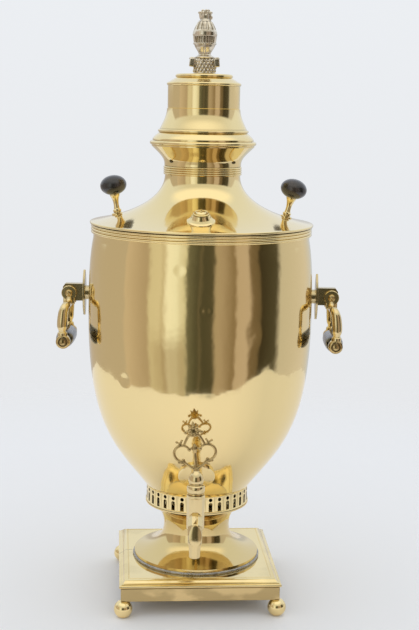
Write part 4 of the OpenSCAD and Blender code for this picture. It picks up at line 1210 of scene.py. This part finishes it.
# %% Handle parts
PIVOT_R, PIVOT_Z, DROP, GRIP_OUT, EYE_Y, EYE_T, EYE_R = 122.5, 288.4, 42.0, 3.0, 25.0, 4.5, 6.6
ARM_Y, ARM_R, SHOULDER_Z, ELBOW_R, GRIP_HALF = 27.25, 3.7, -9.4, 5.3, 25.0
FALL = SHOULDER_Z - ELBOW_R + DROP
SWELL = [
    (0.03, 0.65), (0.08, 0.75), (0.14, 0.85), (0.2, 0.95), (0.3, 1.0), (0.42, 1.0), (0.5, 0.8),
    (0.56, 0.4), (0.61, -0.2), (0.65, -0.5), (0.675, -0.2), (0.69, 0.5), (0.71, 0.8), (0.85, 0.8),
    (0.87, 0.5), (0.885, -0.4), (1, -0.5),
]
arm_line = [(0, 5.6, -3), (0, 6.2, -6.6), (0, 8.5, SHOULDER_Z), (0.6, 20, SHOULDER_Z)]
arm_radii = [2.8, 3.2, 3.5, 3.6]
for i in range(7):
    turn = radians(15 * i)
    drop_in = (ARM_Y - ELBOW_R + ELBOW_R * sin(turn), SHOULDER_Z - ELBOW_R + ELBOW_R * cos(turn))
    arm_line.append((0.6 + 0.4 * i, *drop_in))
    arm_radii.append(ARM_R + 0.09 * i)
for share, proud in SWELL:
    arm_line.append((GRIP_OUT + sin(pi * share), ARM_Y, SHOULDER_Z - ELBOW_R - FALL * share))
    arm_radii.append(ARM_R + proud)


def beside(made, end, at_grip=True):
    """Lays a turned part along the grip, towards one end of it."""
    made.rotation_euler = (radians(-90 * end), 0, 0)
    if at_grip:
        made.location = (GRIP_OUT * MM, 0, -DROP * MM)
    return made


def cast_arm(end):
    """An arm with its ear on the pivot and its eye on the grip's rod."""
    arm = bar([(x, end * y, z) for x, y, z in arm_line], arm_radii, 24)
    ear = turned_part([(2.06, 4.3), (6.2, 4.3), (7.0, 4.8), (7.0, 7.4), (6.5, 7.9), (2.06, 8.0)])
    far = EYE_Y + EYE_T
    eye_line = [(2.2, EYE_Y), (5.8, EYE_Y), (EYE_R, EYE_Y + 0.7), (EYE_R, far - 0.7), (6.1, far), (2.2, far)]
    parts = [arm, beside(ear, end, False), beside(turned_part(eye_line), end)]
    return parts + [block((0, end * 6.1, -6.4), (10.8, 3.6, 8.6), round_by=0.9)]


def rod_cap(end):
    base = EYE_Y + EYE_T
    cap = [(6.2, 0), (6.5, 0.5), (6.3, 1.4), (5.4, 2.2), (4.4, 2.4), (3.9, 1.9), (3.2, 2.3), (2.8, 3.3)]
    cap += [(1.4, 3.8), (0, 3.9)]
    return beside(turned_part([(0, 0), (2.2, 0), (2.2, base)] + raised(base, cap)), end)


def wood_grip(name):
    half = [(2.2, 0), (5.6, 0), (6.1, 0.6), (6.1, 1.8), (5.8, 2.6)]
    half = raised(-GRIP_HALF, half + bend((6.0, 3), (8.5, 6), (8.5, GRIP_HALF - 10), (8.5, GRIP_HALF), 12))
    whole = half + [(r, -z) for r, z in half[::-1][1:]]
    return beside(lathe(name, whole, EBONY, 64, place=Matrix()), 1)


# %% [markdown]
# Both handles are made alike: each is drawn once at its pivot and then set in place on its own side, with
# the left one turned half round. Its arms, caps and grip ride on its own body, so that they swing as one.

# %% Handles
for side, hand, turn in [(-1, "left", pi), (1, "right", 0)]:
    place = Matrix.Translation((side * PIVOT_R * MM, AXIS_Y, PIVOT_Z * MM)) @ Matrix.Rotation(turn, 4, "Z")
    body_name, grip = hand + "_handle", "wood_grip_" + hand
    piece = together("cast_arms_" + hand, cast_arm(-1) + cast_arm(1), CAST_BRASS, place, smooth=35)
    stand_in(piece, "handle_arms_" + hand, body_name)
    piece = together("rod_caps_" + hand, [rod_cap(-1), rod_cap(1)], BROWN_BRASS, place, smooth=35)
    stand_in(piece, "grip_caps_" + hand, body_name)
    piece = together(grip, [wood_grip(grip)], EBONY, place, smooth=35)
    stand_in(piece, "handle_grip_" + hand, body_name)

# %% [markdown]
# ## The lid's knobs and vent
# Two wooden knobs stand on turned stems, leaning outwards a little. The vent in front is a low turned
# boss with a loose cap, square to the slope of the lid.


# %% Places on the lid
def on_lid(reach, turn, lean=None):
    """The frame of a piece on the lid, at a distance from the axis, square to the slope or at a lean."""
    for i in range(len(lid_curve) - 1):
        if lid_curve[i][0] >= reach >= lid_curve[i + 1][0]:
            (r0, z0), (r1, z1) = lid_curve[i], lid_curve[i + 1]
            height = z0 + (z1 - z0) * (r0 - reach) / (r0 - r1)
            slope = atan2(z1 - z0, r0 - r1)
    return (
        ON_AXIS
        @ Matrix.Rotation(radians(turn), 4, "Z")
        @ Matrix.Translation((reach * MM, 0, height * MM))
        @ Matrix.Rotation(slope if lean is None else radians(lean), 4, "Y")
    )


# %% [markdown]
# A knob is a stem with a flattened ball. The stem is brass because it screws through the lid, and the
# ball is wood because it stays cool in the hand. Both knobs share their outlines, each at its own lean.

# %% Knobs
KNOB_AT, KNOB_LEAN_LEFT, KNOB_LEAN_RIGHT = 78, 9.0, 14.0
STEM_H, KNOB_R, KNOB_H = 18.5, 12.2, 9.2
BALL_Z = STEM_H + KNOB_H * sin(radians(66))
stem_line = (
    [(0, -5.8), (2, -5.8), (2, -1.8), (5.3, -1.8), (5.4, 0.7), (5.0, 1.1), (3.6, 1.5), (3.4, 2.2)]
    + [(3.9, 2.9), (3.9, 3.8), (3.0, 4.8)]
    + bend((2.8, 5.2), (2.3, 7.4), (2.3, 10), (2.8, 12.6), 10)
    + [(3.4, 15), (4.1, 16.6), (4.6, 17.6), (4.6, STEM_H), (0, STEM_H)]
)
ball_line = [(0, STEM_H)] + round_arc((0, BALL_Z), KNOB_R, -66, 90, 30, KNOB_H / KNOB_R)
stems, balls = [], []
for turn, lean in [(0, KNOB_LEAN_RIGHT), (180, KNOB_LEAN_LEFT)]:
    for parts, part in ((stems, turned_part(stem_line)), (balls, turned_part(ball_line, 64))):
        part.matrix_world = on_lid(KNOB_AT, turn, lean)
        parts.append(part)
stand_in(together("turned_stems", stems, BRASS_TURNED), "knob_stems", "lid")
stand_in(together("wood_knobs", balls, EBONY), "knob_balls", "lid")

# %% [markdown]
# Steam leaves through a conical boss. Its plug only lies in it, with a small block on top to lift it by,
# so the two are separate pieces and the plug rides on a body of its own.

# %% Vent
vent_place = on_lid(74, -90)
boss_line = [(4, -1.6), (12.2, -1.6), (12.5, 0.2), (12.3, 0.9), (11.4, 1.4)]
boss_line += bend((11.2, 1.5), (9.6, 3.2), (8.4, 4.6), (8.0, 6.6), 8) + [(7.7, 7), (4, 7)]
boss = turned_part(boss_line, 64)
boss.matrix_world = vent_place
stand_in(together("turned_vent", [boss], BRASS_TURNED), "vent_boss", "lid")
plug_line = [(0, -4), (3.5, -4), (3.5, 7.3), (7.0, 7.3), (7.1, 7.8), (6.6, 8.4), (5.6, 8.6), (5.2, 8.2)]
plug_line += [(4.7, 8.2), (4.2, 8.8), (3.2, 9.4), (1.6, 9.7), (0, 9.8)]
vent_plug = turned_part(plug_line, 64)
vent_plug.matrix_world = vent_place
grasp = block((0, 0, 9.7), (5.4, 1.5, 1.9))
grasp.matrix_world = vent_place @ grasp.matrix_world
vent = together("turned_vent_cap", [vent_plug, grasp], BRASS_TURNED)
stand_in(vent, "vent_cap", "vent_cap")

# %% [markdown]
# ## Small parts from the solids
# Feet, mounts, pins, nuts and the inner parts have their right shape in the frame. They get clean
# shading, and softened edges where an eye comes close.

# %% Skins
for node, body_name, material, slot_name, edge in [
    ("ball_feet", "samovar_body", BRASS_TURNED, "polished_brass", 0),
    ("fire_tube", "samovar_body", TIN, "tinned_tube", 0),
    ("grate", "samovar_body", IRON, "iron", 0),
    ("handle_mount_left", "samovar_body", MOUNT_BRASS, "polished_brass", 0.4),
    ("handle_mount_right", "samovar_body", MOUNT_BRASS, "polished_brass", 0.4),
    ("handle_pin_left", "samovar_body", BROWN_BRASS, "old_brass", 0),
    ("handle_pin_right", "samovar_body", BROWN_BRASS, "old_brass", 0),
    ("tap_flange", "samovar_body", BRASS_TURNED, "polished_brass", 0.3),
    ("tap_back_nut", "samovar_body", BRASS_TURNED, "polished_brass", 0.3),
    ("tap_washer", "key", OLD_BRASS, "old_brass", 0.2),
    ("knob_nuts", "lid", BRASS_TURNED, "polished_brass", 0),
    ("finial_nut", "cap", BRASS_TURNED, "polished_brass", 0),
]:
    polished_copy(node, body_name, material, soften=edge)

# %% [markdown]
# ## The studio
# The table is pale and fades into a pale ground. In the brass it ends sooner, at an edge that is nearer
# on some sides than on others, because past it the brass mirrors the dark of the room.


# %% Table
def tone(red, green, blue):
    return (red, green, blue, 1)


def bearing(graph, east, north):
    """0 to 1 round the object, with 0.5 towards the camera and more to its right."""
    return graph.node("Math", {0: east, 1: north * -1.0}, operation="ARCTAN2").out() * (0.5 / pi) + 0.5


select_none()
bpy.ops.mesh.primitive_circle_add(vertices=96, radius=2.2, fill_type="NGON", location=(0, AXIS_Y, 0))
table = bpy.context.object
table.name = "table_top"
settle(table)
graph = finish_named("pale_table")
mirrored = graph.node("LightPath").out("Is Glossy Ray")
reach = graph.node("VectorMath", {0: graph.place}, operation="LENGTH").out("Value")
east, north, _ = split(graph, graph.place)
round_about = bearing(graph, east, north)
edge = ramp(
    graph, round_about, (0.0, 0.9), (0.14, 0.9), (0.27, 0.62), (0.33, 0.57), (0.42, 0.49), (0.55, 0.47),
    (0.62, 0.52), (0.70, 0.86), (0.78, 0.70), (0.86, 0.85), (1.0, 0.9),
)
edge = edge + noise(graph, 6, 2) * 0.06 - 0.03
# Seen in the brass, the table is painted lighter towards the camera and darker to its right and behind it: a
# painted pool of light.
glow = ramp(
    graph, round_about, (0.0, tone(0.86, 0.84, 0.83)), (0.33, tone(0.93, 0.905, 0.90)),
    (0.48, tone(0.99, 0.95, 0.93)), (0.6, tone(0.95, 0.91, 0.89)), (0.7, tone(0.80, 0.78, 0.77)),
    (1.0, tone(0.86, 0.84, 0.83)),
)
fade = graph.node(
    "MapRange", {"Value": reach, "From Min": 0.5, "From Max": 1.0}, interpolation_type="SMOOTHSTEP"
).out()
cut_off = above(graph, reach - edge, 0.0, 0.012)
shade = graph.mix(mirrored, tone(0.84, 0.855, 0.875), glow)
surface = graph.node("BsdfDiffuse", {"Color": shade}).out()
clear = graph.node("BsdfTransparent").out()
gone = fade + (cut_off - fade) * mirrored
both = graph.node("MixShader", {0: gone, 1: surface, 2: clear})
graph.node("OutputMaterial", {"Surface": both.out()})
table.data.materials.append(graph.material)
table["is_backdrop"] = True
print("table faces:", len(table.data.polygons))

# %% [markdown]
# What the brass mirrors is a panorama of soft boxes and dark flags, chosen by direction: bright strips a
# little left of the camera, the dark of the room behind it, a black flag to the right, and pale walls
# all round the back. The strips are places in degrees to the right of the camera.

# %% Panorama
strips = [
    (-180, 0.60, 0.60, 0.62), (-150, 0.53, 0.475, 0.44), (-83, 0.53, 0.475, 0.44),
    (-80, 0.62, 0.53, 0.47), (-54, 0.46, 0.38, 0.31), (-51, 0.70, 0.66, 0.56),
    (-41, 0.72, 0.68, 0.58), (-38, 0.62, 0.56, 0.46), (-33, 0.97, 0.99, 0.98),
    (-24, 0.92, 0.95, 0.92), (-21, 0.80, 0.80, 0.74), (-16, 0.74, 0.72, 0.62),
    (-13, 0.16, 0.155, 0.11), (-2, 0.08, 0.076, 0.048), (0, 0.14, 0.12, 0.08),
    (3, 0.075, 0.07, 0.045), (13, 0.09, 0.08, 0.05), (16, 0.45, 0.375, 0.30),
    (23, 0.42, 0.34, 0.275), (35, 0.25, 0.185, 0.115), (38, 0.54, 0.45, 0.40),
    (51, 0.55, 0.46, 0.42), (54, 0.19, 0.14, 0.09), (62, 0.16, 0.12, 0.075),
    (65, 0.045, 0.036, 0.02), (84, 0.08, 0.072, 0.05), (90, 0.60, 0.58, 0.59),
    (134, 0.70, 0.665, 0.66), (165, 0.60, 0.64, 0.70), (180, 0.60, 0.60, 0.62),
]
world = bpy.data.worlds.new("studio")
bpy.context.scene.world = world
world.use_nodes = True
graph = Graph(world.node_tree)
direction = graph.node("TexCoord").out("Generated")
east, north, up = split(graph, direction)


def ripple(scale):
    """Noise over the directions, about 0.5, so that no strip has a ruled edge."""
    return graph.node("TexNoise", {"Vector": direction, "Scale": scale, "Detail": 2.0}).out()


def around(degrees_right):
    """The place on the ramp of a direction, in degrees to the right of the camera."""
    return 0.5 + degrees_right / 360


turn = bearing(graph, east, north) + ripple(5.0) * 0.008 - 0.004
elevation = graph.node("Math", {0: up}, operation="ARCSINE").out() * (2 / pi)
walls = ramp(graph, turn, *[(around(place), tone(*colour)) for place, *colour in strips])
print("places on the panorama:", len(strips))

# %% [markdown]
# Low down the bright strip fades, as a lamp's foot does. Overhead is a ceiling, paler and cooler at the
# back, and high above the camera's side a bright canopy. Diffuse light is plain, and the camera sees a
# pale ground.

# %% Ceiling and ground
lamp_foot = ramp(
    graph, turn, (around(-54), tone(1, 1, 1)), (around(-48), tone(0.82, 0.78, 0.74)),
    (around(-30), tone(0.62, 0.56, 0.50)), (around(-17), tone(0.66, 0.60, 0.54)),
    (around(-12), tone(1, 1, 1)),
)
downwards = ramp(graph, elevation * -1.0 + ripple(4.0) * 0.05, (0.13, 0.0), (0.19, 1.0))
dimmed = graph.node("VectorMath", {0: walls, 1: lamp_foot}, operation="MULTIPLY").out()
walls = graph.mix(downwards, walls, dimmed)
behind = ramp(graph, north, (0.15, 0.0), (0.45, 1.0))
overhead = ramp(graph, elevation + behind * 0.27, (0.29, 0.0), (0.34, 1.0))
to_the_back = ramp(graph, north * 0.5 + 0.5, (0.25, 0.0), (0.6, 1.0))
ceiling = graph.mix(to_the_back, tone(0.74, 0.73, 0.69), tone(0.82, 0.86, 0.93))
panorama = graph.mix(overhead, walls, ceiling)
canopy = above(graph, elevation, 0.42, 0.62) * (1 - behind)
panorama = graph.mix(canopy, panorama, tone(1.12, 1.09, 1.03))
ground = ramp(graph, elevation * 0.5 + 0.5, (0.40, tone(0.79, 0.80, 0.815)), (0.56, tone(0.85, 0.875, 0.91)))
path = graph.node("LightPath")
light = graph.mix(path.out("Is Glossy Ray"), tone(0.97, 0.98, 1.0), panorama)
light = graph.mix(path.out("Is Camera Ray"), light, ground)
background = graph.node("Background", {"Color": light, "Strength": 1.0})
graph.node("OutputWorld", {"Surface": background.out()})
bpy.context.scene.view_settings.view_transform = "Standard"
print("view:", bpy.context.scene.view_settings.view_transform)

# %% [markdown]
# ## Sizes
# The imported model's box and the box of the shown pieces are both printed. The shown pieces have to
# keep to the imported model's box.

size = {
    "cad": [list(map(float, corner)) for corner in cad_box],
    "shown": [list(map(float, corner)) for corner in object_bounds()],
}
print("size:", size)
